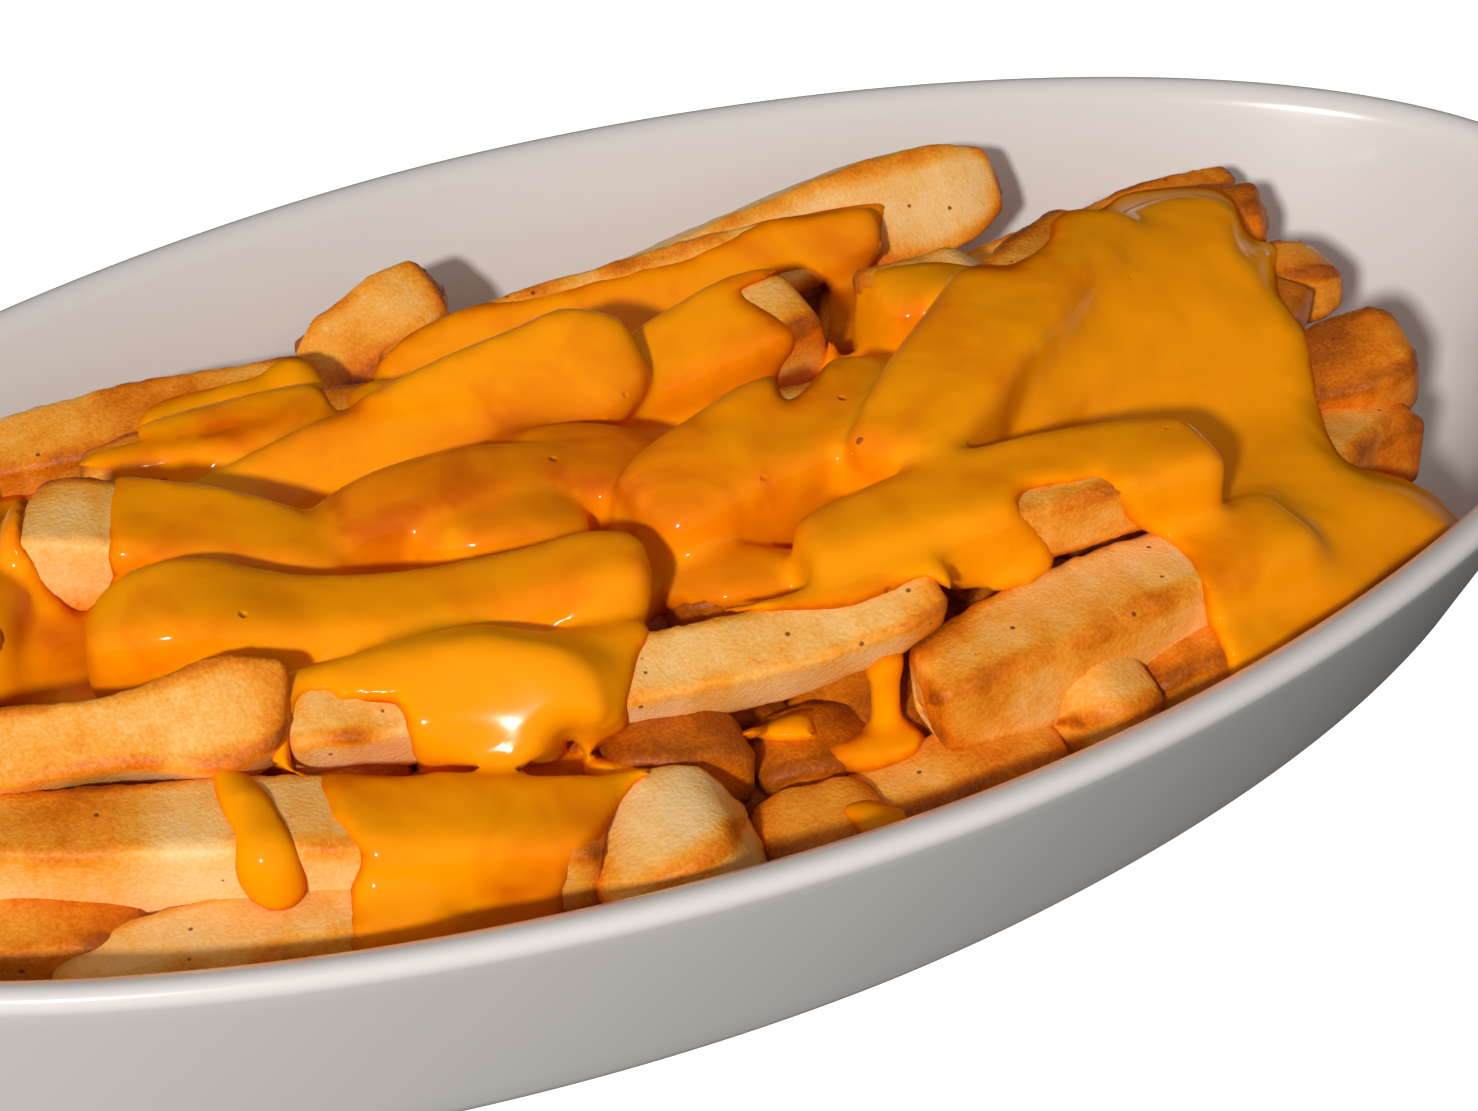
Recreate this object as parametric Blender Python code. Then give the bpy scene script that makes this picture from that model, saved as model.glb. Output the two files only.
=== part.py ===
"""Thick-cut fries heaped in a long oval ceramic dish, with melted cheese sauce poured over them.

All sizes are in millimetres and meshes are made in metres. The origin is at the middle of the foot
of the dish, +X runs along its length, -Y is its near side and +Z is up.
"""

import math

import bmesh
import bpy
import numpy as np
from mathutils.bvhtree import BVHTree

MM = 0.001
GAP = 0.35

# The dish
DISH_LENGTH = 334.0
DISH_WIDTH = 176.5
DISH_HEIGHT = 53.0
OVAL_POWER = 1.88
WALL_LEAN = (16.5, 23.2)
WALL = 5.5
RIM_LEVEL = DISH_HEIGHT - WALL / 2
WALL_FLARE = 1.5
FLOOR = 6.5
FLOOR_FILLET = 14.0
FOOT_RADIUS = 7.0
FOOT_RING = 6.0
FOOT_RECESS = 1.5
DISH_SIDES = 60
INNER_HEIGHTS = (38.0, 28.0, 20.5, 14.0, 10.0, 7.6, 6.5)

# The bed that stands for the fries that are out of sight: its rings, as shares of its spread, and
# how far it reaches into the fries that lie on it
MOUND_MIDDLE = (-18.0, -4.0)
MOUND_SPREAD = (134.0, 66.0)
MOUND_EDGE_HEIGHT = 16.0
MOUND_RINGS = (1.0, 0.95, 0.86, 0.74, 0.6, 0.46, 0.32, 0.16)
MOUND_SIDES = 44
MOUND_GRIP = 2.5
MOUND_BLEND = 5.0

# Each fry that shows: name, one end, the other end, width, depth, roll in degrees, rise of the
# middle, sideways bow of the middle, and the size of each end against the middle.
FRIES = (
    ("back_pale", (-2, 60, 40), (86, 49, 48), 16, 10, 35, 0, 1, 0.7, 1),
    ("back_coated", (-22, 44, 45), (56, 38, 47), 11, 10, 10, 1, 0, 0.8, 0.8),
    ("back_wedge", (-31, 54, 39), (-10, 58, 48), 12, 9, 20, 0, 0, 1, 0.9),
    ("back_left", (-93, 59, 40), (-36, 47, 45), 11, 10, 15, 0, 1, 1, 0.8),
    ("mid_back_low", (-72, 39, 45), (-22, 29, 47), 11, 10, 0, 0, 0, 0.8, 0.8),
    ("mid_back_left", (-61, 17, 49), (3, 22, 56), 13, 12, 0, 1, -2, 0.8, 0.8),
    ("mid_back_chunky", (-4, 13, 50), (32, 16, 53), 14, 13, 10, 1, 0, 0.8, 0.9),
    ("mid_gap", (42, 20, 40), (62, 47, 36), 9, 9, 0, 0, 0, 1, 1),
    ("mid_bulb", (46, 17, 48), (68, 15, 48), 12, 12, 0, 0, 0, 0.9, 1),
    ("back_thin", (66, 30, 43), (118, 28, 48), 10, 10, 10, 1, 0, 0.9, 0.6),
    ("back_stub", (89, 25, 45), (116, 15, 49), 10, 9, 0, 0, 0, 1, 1),
    ("end_knob", (92, 5, 43), (117, -3, 46), 10, 10, 0, 0, 0, 1, 0.9),
    ("end_big", (76, -21, 41), (111, -26, 46), 14, 10, 10, 0, 0, 1, 1),
    ("end_low", (80, -31, 33), (108, -33, 37), 12, 11, 0, 0, 0, 1, 1),
    ("top_big", (21, -28, 58), (82, 8, 57), 13, 12, 0, 1, 0, 1, 0.9),
    ("under_blanket", (44, -23, 51), (103, 8, 51), 12, 11, 0, 0, 1, 1, 1),
    ("under_blanket_low", (59, -27, 48), (106, -5, 48), 12, 11, 0, 0, 0, 1, 1),
    ("top_right", (0, -43, 57), (57, -46, 57), 12, 12, 0, 2, 0, 0.9, 0.9),
    ("right_bare", (8, -61, 46), (65, -58, 47), 12, 12, 0, 0, 0, 1, 0.9),
    ("pool_bed", (58, -50, 37), (108, -24, 35), 12, 11, 0, 0, 0, 1.0, 1.0),
    ("pool_bed_near", (48, -60, 37), (92, -44, 36), 12, 11, 0, 0, 0, 1.0, 1.0),
    ("rim_cube", (26, -66, 40), (54, -66, 41), 10, 10, 10, 0, 0, 1, 1),
    ("rim_low", (-9, -66, 35), (23, -68, 36), 11, 10, 0, 0, 0, 1, 1),
    ("rim_low_back", (5, -57, 31), (34, -57, 31), 12, 11, 0, 0, 0, 1, 1),
    ("rim_coated", (-22, -68, 37), (-5, -71, 37), 11, 10, 0, 0, 0, 0.8, 0.9),
    ("brown_mid", (-35, -49, 44), (-17, -55, 42), 10, 10, 0, 0, 0, 1, 0.8),
    ("brown_mid_low", (-16, -54, 37), (1, -55, 36), 11, 10, 0, 0, 0, 1, 1),
    ("thin_coated", (-15, -32, 49), (1, -38, 50), 10, 10, 0, 0, 0, 0.8, 0.8),
    ("round_end", (-36, -62, 40), (-26, -66, 44), 15, 14, 0, 0, 0, 1, 0.9),
    ("front_brown", (-114, -31, 48), (-43, -64, 45), 12, 12, 0, 0, 0, 1, 0.9),
    ("front_low", (-106, -48, 40), (-63, -59, 41), 12, 11, 0, 0, 0, 0.8, 1),
    ("front_low_left", (-117, -38, 39), (-94, -47, 39), 11, 11, 0, 0, 0, 1, 0.8),
    ("front_pale", (-112, -22, 56), (-70, -35, 57), 11, 10, 0, -1, 0, 0.8, 1.15),
    ("front_long", (-63, -36, 53), (10, -55, 55), 10.5, 10, 0, -2, 0, 1, 0.8),
    ("mid_long", (-84, -13, 57), (-22, -35, 57), 13, 12, 0, -2, 0, 1, 0.8),
    ("mid_bare_end", (-84, 13, 57), (-52, -6, 52), 13, 12, 0, 0, 0, 1, 0.7),
    ("mid_swoop", (-54, 0, 51), (-17, -2, 53), 12, 11, 0, 1, 0, 0.8, 0.8),
    ("mid_leaf", (-40, -9, 53), (-20, -13, 51), 11, 10, 0, 0, 0, 0.7, 0.7),
    ("mid_dark", (-24, 6, 48), (-3, -5, 48), 13, 12, 0, 0, 0, 1, 1),
    ("mid_knob", (-7, -21, 54), (28, -14, 55), 13, 12, 0, 0, 0, 1, 0.9),
    ("left_dark", (-105, 6, 51), (-94, -1, 53), 12, 12, 0, 0, 0, 1, 0.8),
    ("left_low", (-99, 2, 45), (-82, 4, 45), 12, 12, 0, 0, 0, 1, 1),
    ("left_back", (-140, 28, 42), (-88, 50, 43), 11, 10, 10, 1, 0, 1.0, 0.9),
    ("left_back_low", (-149, 10, 37), (-100, 40, 39), 11, 11, 0, 0, 0, 0.8, 1.0),
    ("left_ridge", (-144, 16, 44), (-96, 24, 51), 12, 11, 0, 1, 1, 0.8, 0.9),
    ("left_top", (-138, -8, 49), (-98, 12, 56), 12, 12, 0, 1, 0, 0.9, 0.8),
    ("left_mid", (-152, -4, 40), (-106, -18, 50), 12, 11, 10, 0, -1, 0.8, 1.0),
    ("left_cross", (-124, -32, 46), (-120, 20, 47), 11, 10, 0, 1, 1, 0.9, 0.8),
    ("left_front", (-146, -20, 40), (-112, -42, 42), 11, 11, 0, 0, 0, 0.8, 1.0),
    ("left_front_low", (-151, -8, 34), (-122, -34, 35), 11, 11, 10, 0, 0, 1.0, 1.0),
    ("left_end", (-156, 2, 33), (-132, 4, 38), 12, 11, 0, 0, 0, 0.8, 1.0),
    ("left_end_back", (-149, 22, 35), (-120, 36, 36), 11, 11, 0, 0, 0, 0.9, 1.0),
)
FRY_STATIONS = (0.0, 0.07, 0.5, 0.93, 1.0)
FRY_TAPER = 0.4
FRY_END_ROUNDING = 0.74
FRY_CORNER = 0.3
BARE_FRIES = ("front_pale", "back_wedge")

# Where the sauce lies. Each outline is drawn on the plane of the rim, as it is seen from EYE: a spot
# is coated where the line from EYE to it crosses that plane inside an outline.
EYE = (-148.0, -290.0, 277.0)
SAUCE_OUTLINES = {
    "back_strip": (
        (-36, 29), (-28, 37), (-17, 43), (8, 42), (26, 40), (44, 45), (62, 42), (51, 26), (38, 10),
        (19, -1), (-7, 6),
    ),
    "back_dab": ((-38, 30), (-37, 41), (-45, 40), (-62, 42), (-61, 34), (-45, 32)),
    "ridges": (
        (-76, 30), (-63, 32), (-50, 29), (-38, 27), (-15, 21), (23, 2), (39, -1), (31, -22),
        (14, -41), (-4, -45), (-20, -38), (-62, -32), (-68, -44), (-82, -29), (-95, -12), (-88, 6),
        (-79, 6), (-76, 14),
    ),
    "left_pour": ((-88, 8), (-86, 30), (-104, 36), (-132, 20), (-134, -8), (-108, -16), (-90, -4)),
    "drape": (
        (-36, -23), (-20, -36), (-28, -45), (-33, -54), (-44, -57), (-59, -49), (-57, -36),
        (-60, -24),
    ),
    "blanket": (
        (39, 10), (46, 18), (54, 23), (70, 15), (84, 24), (97, 25), (111, 17), (107, 7), (98, -17),
        (85, -40), (80, -52), (87, -66), (72, -77), (36, -84), (44, -69), (46, -49), (42, -37),
        (34, -41), (33, -49), (16, -53), (-2, -42), (5, -21),
    ),
    "front_patch": ((-70, -45), (-54, -50), (-33, -63), (-45, -70), (-56, -81), (-78, -75), (-71, -59)),
}
BARE_OUTLINES = {
    "bare_tip": ((29, 31), (39, 34), (42, 27), (34, 11), (19, -1), (29, 14)),
    "bare_end": ((-82, 31), (-71, 28), (-78, 9), (-84, 0), (-87, 18)),
}
OUTLINE_STEPS = 4
SAUCE_GRID = 4.5
SAMPLES_PER_CELL = 4
SAUCE_THICKNESS = 1.6
SAUCE_EDGE_THICKNESS = 1.2
EDGE_SHARE = (0.2, 0.8)
BARE_MARGIN = 1.5
BARE_REACH = (-0.08, 1.08)
BARE_RISE = 2.0


def material(name, color, roughness, metallic=0.0):
    made = bpy.data.materials.new(name)
    made.use_nodes = True
    shader = made.node_tree.nodes["Principled BSDF"]
    shader.inputs["Base Color"].default_value = (*color, 1.0)
    shader.inputs["Roughness"].default_value = roughness
    shader.inputs["Metallic"].default_value = metallic
    return made


def new_object(name, points, faces, finish=None):
    """An object from points in millimetres, with its faces turned outwards."""
    mesh = bpy.data.meshes.new(name)
    mesh.from_pydata([tuple(MM * float(value) for value in point) for point in points], [], faces)
    work = bmesh.new()
    work.from_mesh(mesh)
    bmesh.ops.recalc_face_normals(work, faces=work.faces)
    work.to_mesh(mesh)
    work.free()
    if finish:
        mesh.materials.append(finish)
    made = bpy.data.objects.new(name, mesh)
    bpy.context.scene.collection.objects.link(made)
    return made


def oval(semi_x, semi_y, height, sides, middle=(0.0, 0.0)):
    """Points round a superellipse, which is an oval with slightly pointed ends."""
    ring = []
    for step in range(sides):
        angle = 2 * math.pi * step / sides
        across = math.copysign(abs(math.cos(angle)) ** (2 / OVAL_POWER), math.cos(angle))
        along = math.copysign(abs(math.sin(angle)) ** (2 / OVAL_POWER), math.sin(angle))
        ring.append((middle[0] + semi_x * across, middle[1] + semi_y * along, height))
    return ring


def loft(name, rings, finish=None):
    """A closed solid through rings of equally many points, with a flat face at each end."""
    count = len(rings[0])
    points = [point for ring in rings for point in ring]
    faces = [tuple(range(count)), tuple(range(len(points) - count, len(points)))]
    for level in range(len(rings) - 1):
        low = level * count
        high = low + count
        for step in range(count):
            after = (step + 1) % count
            faces.append((low + step, low + after, high + after, high + step))
    return new_object(name, points, faces, finish)


def wall_semi_axes(height, inset):
    """Half length and half width of the dish at a height, a distance in from its outer wall."""
    lean = 1 - height / RIM_LEVEL
    half_length = DISH_LENGTH / 2 - WALL_LEAN[0] * lean - inset
    half_width = DISH_WIDTH / 2 - WALL_LEAN[1] * lean - inset
    return half_length, half_width


def inner_inset(height):
    """How far the inner wall is from the outer one, with the fillet that leads into the floor."""
    inset = WALL + WALL_FLARE * (1 - height / RIM_LEVEL)
    above_floor = height - FLOOR
    if above_floor < FLOOR_FILLET:
        drop = FLOOR_FILLET - above_floor
        inset += FLOOR_FILLET - math.sqrt(max(FLOOR_FILLET**2 - drop**2, 0.0))
    return inset


def arc(middle, radius, start, end, steps):
    """Points of a circular arc in the plane of inset and height, angles in degrees."""
    angles = [math.radians(start + (end - start) * step / steps) for step in range(steps + 1)]
    return [(middle[0] + radius * math.cos(a), middle[1] + radius * math.sin(a)) for a in angles]


def make_dish():
    """The dish: foot ring, leaning wall, rounded rim, inner wall, fillet and floor."""
    ring_inner = FOOT_RADIUS + FOOT_RING
    profile = [(ring_inner + FOOT_RECESS, FOOT_RECESS), (ring_inner, 0.0)]
    profile += arc((FOOT_RADIUS, FOOT_RADIUS), FOOT_RADIUS, 270, 180, 3)
    profile += [(0.0, 0.4 * DISH_HEIGHT), (0.0, 0.7 * DISH_HEIGHT)]
    profile += arc((WALL / 2, RIM_LEVEL), WALL / 2, 180, 0, 5)
    profile += [(inner_inset(height), height) for height in INNER_HEIGHTS]
    rings = []
    for inset, height in profile:
        rings.append(oval(*wall_semi_axes(height, inset), height, DISH_SIDES))
    glaze = material("warm_white_glaze", (0.78, 0.75, 0.72), 0.22)
    dish = loft("dish", rings, glaze)
    dish.data.shade_smooth()
    dish.data.set_sharp_from_angle(angle=math.radians(35))
    return dish


def make_cavity():
    """The room inside the dish, a small gap clear of it and carried on straight up above the rim."""
    rings = []
    for height in (RIM_LEVEL, *INNER_HEIGHTS):
        semi_axes = wall_semi_axes(height, inner_inset(height) + GAP)
        rings.insert(0, oval(*semi_axes, height + GAP, DISH_SIDES))
    rings.append([(x, y, 2 * DISH_HEIGHT) for x, y, _ in rings[-1]])
    return loft("cavity", rings)


def bed_points():
    """Points under each fry, a little above its underside, which the mound comes up to."""
    points = []
    for fry in FRIES:
        start, end = np.array(fry[1], float), np.array(fry[2], float)
        for part in np.linspace(0.05, 0.95, 7):
            middle = start + (end - start) * part
            points.append(middle - (0.0, 0.0, fry[4] / 2 - MOUND_GRIP))
    return np.array(points)


def make_mound():
    """What lies under the fries that show: a bed that rises to the underside of each."""
    bed = bed_points()
    rings = [oval(*MOUND_SPREAD, 0.0, MOUND_SIDES, MOUND_MIDDLE)]
    for spread in MOUND_RINGS:
        semi_axes = (MOUND_SPREAD[0] * spread, MOUND_SPREAD[1] * spread)
        ring = []
        for x, y, _ in oval(*semi_axes, 0.0, MOUND_SIDES, MOUND_MIDDLE):
            away = (bed[:, 0] - x) ** 2 + (bed[:, 1] - y) ** 2
            weight = 1 / (away + MOUND_BLEND**2) ** 2
            height = (weight * bed[:, 2]).sum() / weight.sum()
            ring.append((x, y, MOUND_EDGE_HEIGHT if spread == 1.0 else height))
        rings.append(ring)
    return loft("mound", rings)


def fry_rings(fry):
    """The eight-sided sections along one fry, which bows, narrows to its ends and has cut corners."""
    _, start, end, width, depth, roll, rise, bow, first_size, last_size = fry
    start = np.array(start, float)
    along = np.array(end, float) - start
    forward = along / np.linalg.norm(along)
    level_up = np.array((0.0, 0.0, 1.0)) - forward * forward[2]
    level_up /= np.linalg.norm(level_up)
    level_side = np.cross(forward, level_up)
    turn = math.radians(roll)
    up = math.cos(turn) * level_up + math.sin(turn) * level_side
    side = np.cross(forward, up)
    cut = 1 - FRY_CORNER
    corners = ((1, -cut), (1, cut), (cut, 1), (-cut, 1), (-1, cut), (-1, -cut), (-cut, -1), (cut, -1))
    rings = []
    for part in FRY_STATIONS:
        bend = 4 * part * (1 - part)
        middle = start + along * part + level_up * rise * bend + level_side * bow * bend
        size = first_size + (1 - first_size) * min(part / FRY_TAPER, 1.0)
        size = min(size, last_size + (1 - last_size) * min((1 - part) / FRY_TAPER, 1.0))
        if last_size > 1:
            size += (last_size - 1) * max((part - 0.5) / 0.5, 0.0)
        if part in (0.0, 1.0):
            size *= FRY_END_ROUNDING
        ring = []
        for across, over in corners:
            ring.append(middle + size * (side * across * width / 2 + up * over * depth / 2))
        rings.append(ring)
    return rings


def apply_boolean(obj, operation, collection=None, other=None):
    modifier = obj.modifiers.new(operation.lower(), "BOOLEAN")
    modifier.operation = operation
    modifier.solver = "EXACT"
    if collection:
        modifier.operand_type = "COLLECTION"
        modifier.collection = collection
    else:
        modifier.object = other
    evaluated = obj.evaluated_get(bpy.context.evaluated_depsgraph_get())
    mesh = bpy.data.meshes.new_from_object(evaluated)
    obj.modifiers.remove(modifier)
    obj.data = mesh


def keep_largest_shell(obj):
    """Drops loose scraps, and sealed hollows, whose walls are shells of their own."""
    work = bmesh.new()
    work.from_mesh(obj.data)
    bmesh.ops.triangulate(work, faces=work.faces)
    shells = []
    seen = set()
    for first in work.faces:
        if first in seen:
            continue
        shell = [first]
        seen.add(first)
        for face in shell:
            for edge in face.edges:
                for near in edge.link_faces:
                    if near not in seen:
                        seen.add(near)
                        shell.append(near)
        shells.append(shell)

    def volume(shell):
        total = 0.0
        for face in shell:
            first, second, third = (vertex.co for vertex in face.verts)
            total += first.dot(second.cross(third))
        return total / 6

    shells.sort(key=volume)
    for shell in shells[:-1]:
        bmesh.ops.delete(work, geom=shell, context="FACES")
    work.to_mesh(obj.data)
    work.free()


def make_fries():
    """The heap: the mound with every fry that shows fused on, trimmed to the inside of the dish."""
    heap = make_mound()
    heap.name = "fries"
    heap.data.name = "fries"
    pieces = bpy.data.collections.new("fry_pieces")
    bpy.context.scene.collection.children.link(pieces)
    for fry in FRIES:
        piece = loft(fry[0], fry_rings(fry))
        bpy.context.scene.collection.objects.unlink(piece)
        pieces.objects.link(piece)
    apply_boolean(heap, "UNION", collection=pieces)
    for piece in list(pieces.objects):
        bpy.data.objects.remove(piece)
    bpy.data.collections.remove(pieces)
    cavity = make_cavity()
    apply_boolean(heap, "INTERSECT", other=cavity)
    bpy.data.objects.remove(cavity)
    keep_largest_shell(heap)
    heap.data.materials.clear()
    heap.data.materials.append(material("fried_potato", (0.72, 0.42, 0.13), 0.6))
    return heap


def smooth_outline(points):
    """A closed Catmull-Rom curve through the points."""
    knots = np.array(points, float)
    before = np.roll(knots, 1, axis=0)
    after = np.roll(knots, -1, axis=0)
    later = np.roll(knots, -2, axis=0)
    curve = []
    for step in range(OUTLINE_STEPS):
        t = step / OUTLINE_STEPS
        cubic = (3 * knots - before - 3 * after + later) * t**3
        square = (2 * before - 5 * knots + 4 * after - later) * t**2
        curve.append((2 * knots + (after - before) * t + square + cubic) / 2)
    return np.stack(curve, axis=1).reshape(-1, 2)


def inside(outline, x, y):
    """Which points lie in the outline, by counting the edges that a line to the right crosses."""
    crossings = np.zeros(np.shape(x), int)
    for first, second in zip(outline, np.roll(outline, -1, axis=0)):
        spans = (first[1] > y) != (second[1] > y)
        rise = second[1] - first[1]
        if rise == 0:
            continue
        crossings += spans & (x < first[0] + (y - first[1]) * (second[0] - first[0]) / rise)
    return crossings % 2 == 1


def coated(x, y, z):
    """Which points the sauce covers, by the outlines on the plane of the rim."""
    slide = (DISH_HEIGHT - EYE[2]) / (z - EYE[2])
    rim_x = EYE[0] + (x - EYE[0]) * slide
    rim_y = EYE[1] + (y - EYE[1]) * slide
    covered = np.zeros(np.shape(x), bool)
    for outline in SAUCE_OUTLINES.values():
        covered |= inside(smooth_outline(outline), rim_x, rim_y)
    for outline in BARE_OUTLINES.values():
        covered &= ~inside(smooth_outline(outline), rim_x, rim_y)
    return covered


def top_heights(tree, x, y):
    """The height of the heap over each point of a grid, and nothing where the heap isn't below."""
    heights = np.full(x.shape, np.nan)
    for index in np.ndindex(x.shape):
        start = (MM * x[index], MM * y[index], 2 * MM * DISH_HEIGHT)
        hit = tree.ray_cast(start, (0.0, 0.0, -1.0))[0]
        if hit:
            heights[index] = hit[2] / MM
    return heights


def largest_patch(marks):
    """The largest set of grid points that are marked and join along grid lines."""
    left = set(zip(*np.nonzero(marks)))
    best = set()
    while left:
        first = left.pop()
        patch = {first}
        waiting = [first]
        while waiting:
            row, column = waiting.pop()
            for near in ((row + 1, column), (row - 1, column), (row, column + 1), (row, column - 1)):
                if near in left:
                    left.remove(near)
                    patch.add(near)
                    waiting.append(near)
        if len(patch) > len(best):
            best = patch
    kept = np.zeros_like(marks)
    for place in best:
        kept[place] = True
    return kept


def window_means(values, reach):
    """The mean of each value and of all that lie within a number of steps of it."""
    size = 2 * reach + 1
    padded = np.pad(values.astype(float), reach)
    total = np.zeros(values.shape)
    for down in range(size):
        for over in range(size):
            total += padded[down : down + values.shape[0], over : over + values.shape[1]]
    return total / size**2


def on_bare_fry(x, y, heights):
    """Which points of the grid have one of the bare fries at the top."""
    found = np.zeros(x.shape, bool)
    for fry in FRIES:
        if fry[0] not in BARE_FRIES:
            continue
        lowest = np.array(fry_rings(fry))[..., 2].min()
        start, end = np.array(fry[1], float), np.array(fry[2], float)
        along = (end - start)[:2]
        part = ((x - start[0]) * along[0] + (y - start[1]) * along[1]) / (along @ along)
        away = np.hypot(x - start[0] - part * along[0], y - start[1] - part * along[1])
        near = (part > BARE_REACH[0]) & (part < BARE_REACH[1]) & (away < fry[3] / 2 + BARE_MARGIN)
        found |= near & (heights > lowest + BARE_RISE)
    return found


def sheet_outline(share):
    """The sheet in plan: its points as (column, row), its faces, and the edges round it.

    A grid point belongs to the sheet where the share that the sauce covers round it is over a half.
    The outline runs through the places on the grid lines where that share passes a half.
    """
    kept = largest_patch(share > 0.5)
    share = np.where(kept, share, np.minimum(share, 0.4))
    places = {}
    faces = []
    border = []
    columns, rows = share.shape[0] - 1, share.shape[1] - 1
    for column in range(columns):
        for row in range(rows):
            corners = [(column, row), (column + 1, row), (column + 1, row + 1), (column, row + 1)]
            filled = [kept[corner] for corner in corners]
            if not any(filled):
                continue
            polygon = []
            for side in range(4):
                after = (side + 1) % 4
                if filled[side]:
                    polygon.append((corners[side], False))
                if filled[side] != filled[after]:
                    first, second = sorted((corners[side], corners[after]))
                    passed = (share[first] - 0.5) / (share[first] - share[second])
                    passed = min(max(passed, EDGE_SHARE[0]), EDGE_SHARE[1])
                    place = tuple(a + (b - a) * passed for a, b in zip(first, second))
                    polygon.append((place, True))
            pieces = [polygon]
            if filled in ([True, False, True, False], [False, True, False, True]):
                first = next(i for i, (_, on_edge) in enumerate(polygon) if not on_edge)
                turned = polygon[first - 1 :] + polygon[: first - 1]
                pieces = [turned[:3], turned[3:]]
            for piece in pieces:
                numbers = [places.setdefault(place, len(places)) for place, _ in piece]
                faces.append(numbers)
                for side in range(len(piece)):
                    if piece[side][1] and piece[(side + 1) % len(piece)][1]:
                        border.append((numbers[side], numbers[(side + 1) % len(piece)]))
    return np.array(list(places)), faces, border


def make_sauce(heap):
    """The sauce: a thin sheet over the heap, its underside just above whatever is highest there."""
    work = bmesh.new()
    work.from_mesh(heap.data)
    tree = BVHTree.FromBMesh(work)
    work.free()
    step = SAUCE_GRID / SAMPLES_PER_CELL
    columns = int(DISH_LENGTH / SAUCE_GRID)
    rows = int(DISH_WIDTH / SAUCE_GRID)
    xs = np.arange(columns * SAMPLES_PER_CELL + 1) * step - columns * SAUCE_GRID / 2
    ys = np.arange(rows * SAMPLES_PER_CELL + 1) * step - rows * SAUCE_GRID / 2
    y, x = np.meshgrid(ys, xs)
    heights = top_heights(tree, x, y)
    hit = np.isfinite(heights)
    heights = np.where(hit, heights, 0.0)
    poured = hit & coated(x, y, heights) & ~on_bare_fry(x, y, heights)
    share = window_means(poured, SAMPLES_PER_CELL // 2)
    places, plan, border = sheet_outline(share[::SAMPLES_PER_CELL, ::SAMPLES_PER_CELL])
    flat = places * SAUCE_GRID + (xs[0], ys[0])
    under = np.zeros(len(places))
    for face in plan:
        low = np.floor(places[face].min(axis=0) * SAMPLES_PER_CELL).astype(int)
        high = np.ceil(places[face].max(axis=0) * SAMPLES_PER_CELL).astype(int) + 1
        block = np.s_[low[0] : high[0], low[1] : high[1]]
        top = heights[block][share[block] > 0.3].max() + GAP
        under[face] = np.maximum(under[face], top)
    near = [set() for _ in places]
    for face in plan:
        for number in face:
            near[number].update(face)
    over = np.array([under[list(group)].mean() for group in near])
    thickness = np.full(len(places), SAUCE_THICKNESS)
    thickness[[number for edge in border for number in edge]] = SAUCE_EDGE_THICKNESS
    over = np.maximum(over, under) + thickness
    count = len(places)
    points = np.concatenate([np.column_stack([flat, under]), np.column_stack([flat, over])])
    faces = []
    for face in plan:
        for second, third in zip(face[1:], face[2:]):
            faces.append((face[0], third, second))
            faces.append((face[0] + count, second + count, third + count))
    faces += [(a, b, b + count, a + count) for a, b in border]
    melted = material("melted_cheese", (0.95, 0.45, 0.02), 0.25)
    return new_object("cheese_sauce", points, faces, melted)


def main():
    for obj in list(bpy.data.objects):
        bpy.data.objects.remove(obj)
    make_dish()
    heap = make_fries()
    make_sauce(heap)


main()
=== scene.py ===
"""Cheese fries: thick-cut fries in a long oval dish with melted cheese sauce poured over them.

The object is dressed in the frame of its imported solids. Lengths in the tables are millimetres and
angles degrees. The sauce's outlines are pixel places, as the camera that is made here sees them.
"""

import math
from collections import namedtuple

import bpy
import numpy as np
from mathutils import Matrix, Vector


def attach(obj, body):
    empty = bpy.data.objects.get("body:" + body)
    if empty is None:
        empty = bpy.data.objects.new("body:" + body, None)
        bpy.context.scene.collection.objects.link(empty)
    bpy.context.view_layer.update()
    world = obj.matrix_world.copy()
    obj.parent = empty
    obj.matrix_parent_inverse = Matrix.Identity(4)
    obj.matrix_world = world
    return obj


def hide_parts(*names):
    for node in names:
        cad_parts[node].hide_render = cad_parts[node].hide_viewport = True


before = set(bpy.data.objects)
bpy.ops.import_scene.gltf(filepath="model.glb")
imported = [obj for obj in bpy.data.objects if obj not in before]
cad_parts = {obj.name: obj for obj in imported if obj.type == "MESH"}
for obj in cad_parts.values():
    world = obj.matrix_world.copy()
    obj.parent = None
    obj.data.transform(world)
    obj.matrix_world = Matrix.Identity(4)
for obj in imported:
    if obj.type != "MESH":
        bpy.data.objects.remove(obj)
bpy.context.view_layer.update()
MM = 0.001

# The view: a camera a little above the table and to the left of the middle, as in the photo, a
# pale table top, a key light from the left and a bright surrounding that fills the shadows.

EYE = np.array((-148.33, -289.84, 276.88))
LOOKED_AT = np.array((-4.3, -30.0, 53.0))
LENS = 68.2
SENSOR = 36.0
TABLE_REACH = 4000
TABLE_WHITE = (0.7, 0.7, 0.7, 1.0)
WHITE_LIGHT = (1.0, 1.0, 1.0, 1.0)
KEY_PLACE = np.array((-950.0, -990.0, 820.0))
KEY_SIZE = 0.11
KEY_POWER = 19.5
KEY_COLOR = (1.0, 0.97, 0.93)
BRIGHT_SIDE = (-0.64, -0.73, 0.2)
DIMMEST = 0.03
BRIGHTEST = 0.47


def stand_facing(thing, place, target):
    """Put a camera or a light at a place, with its own -Z axis turned to a target."""
    thing.location = place * MM
    thing.rotation_euler = Vector(target - place).to_track_quat("-Z", "Y").to_euler()
    bpy.context.scene.collection.objects.link(thing)


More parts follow.
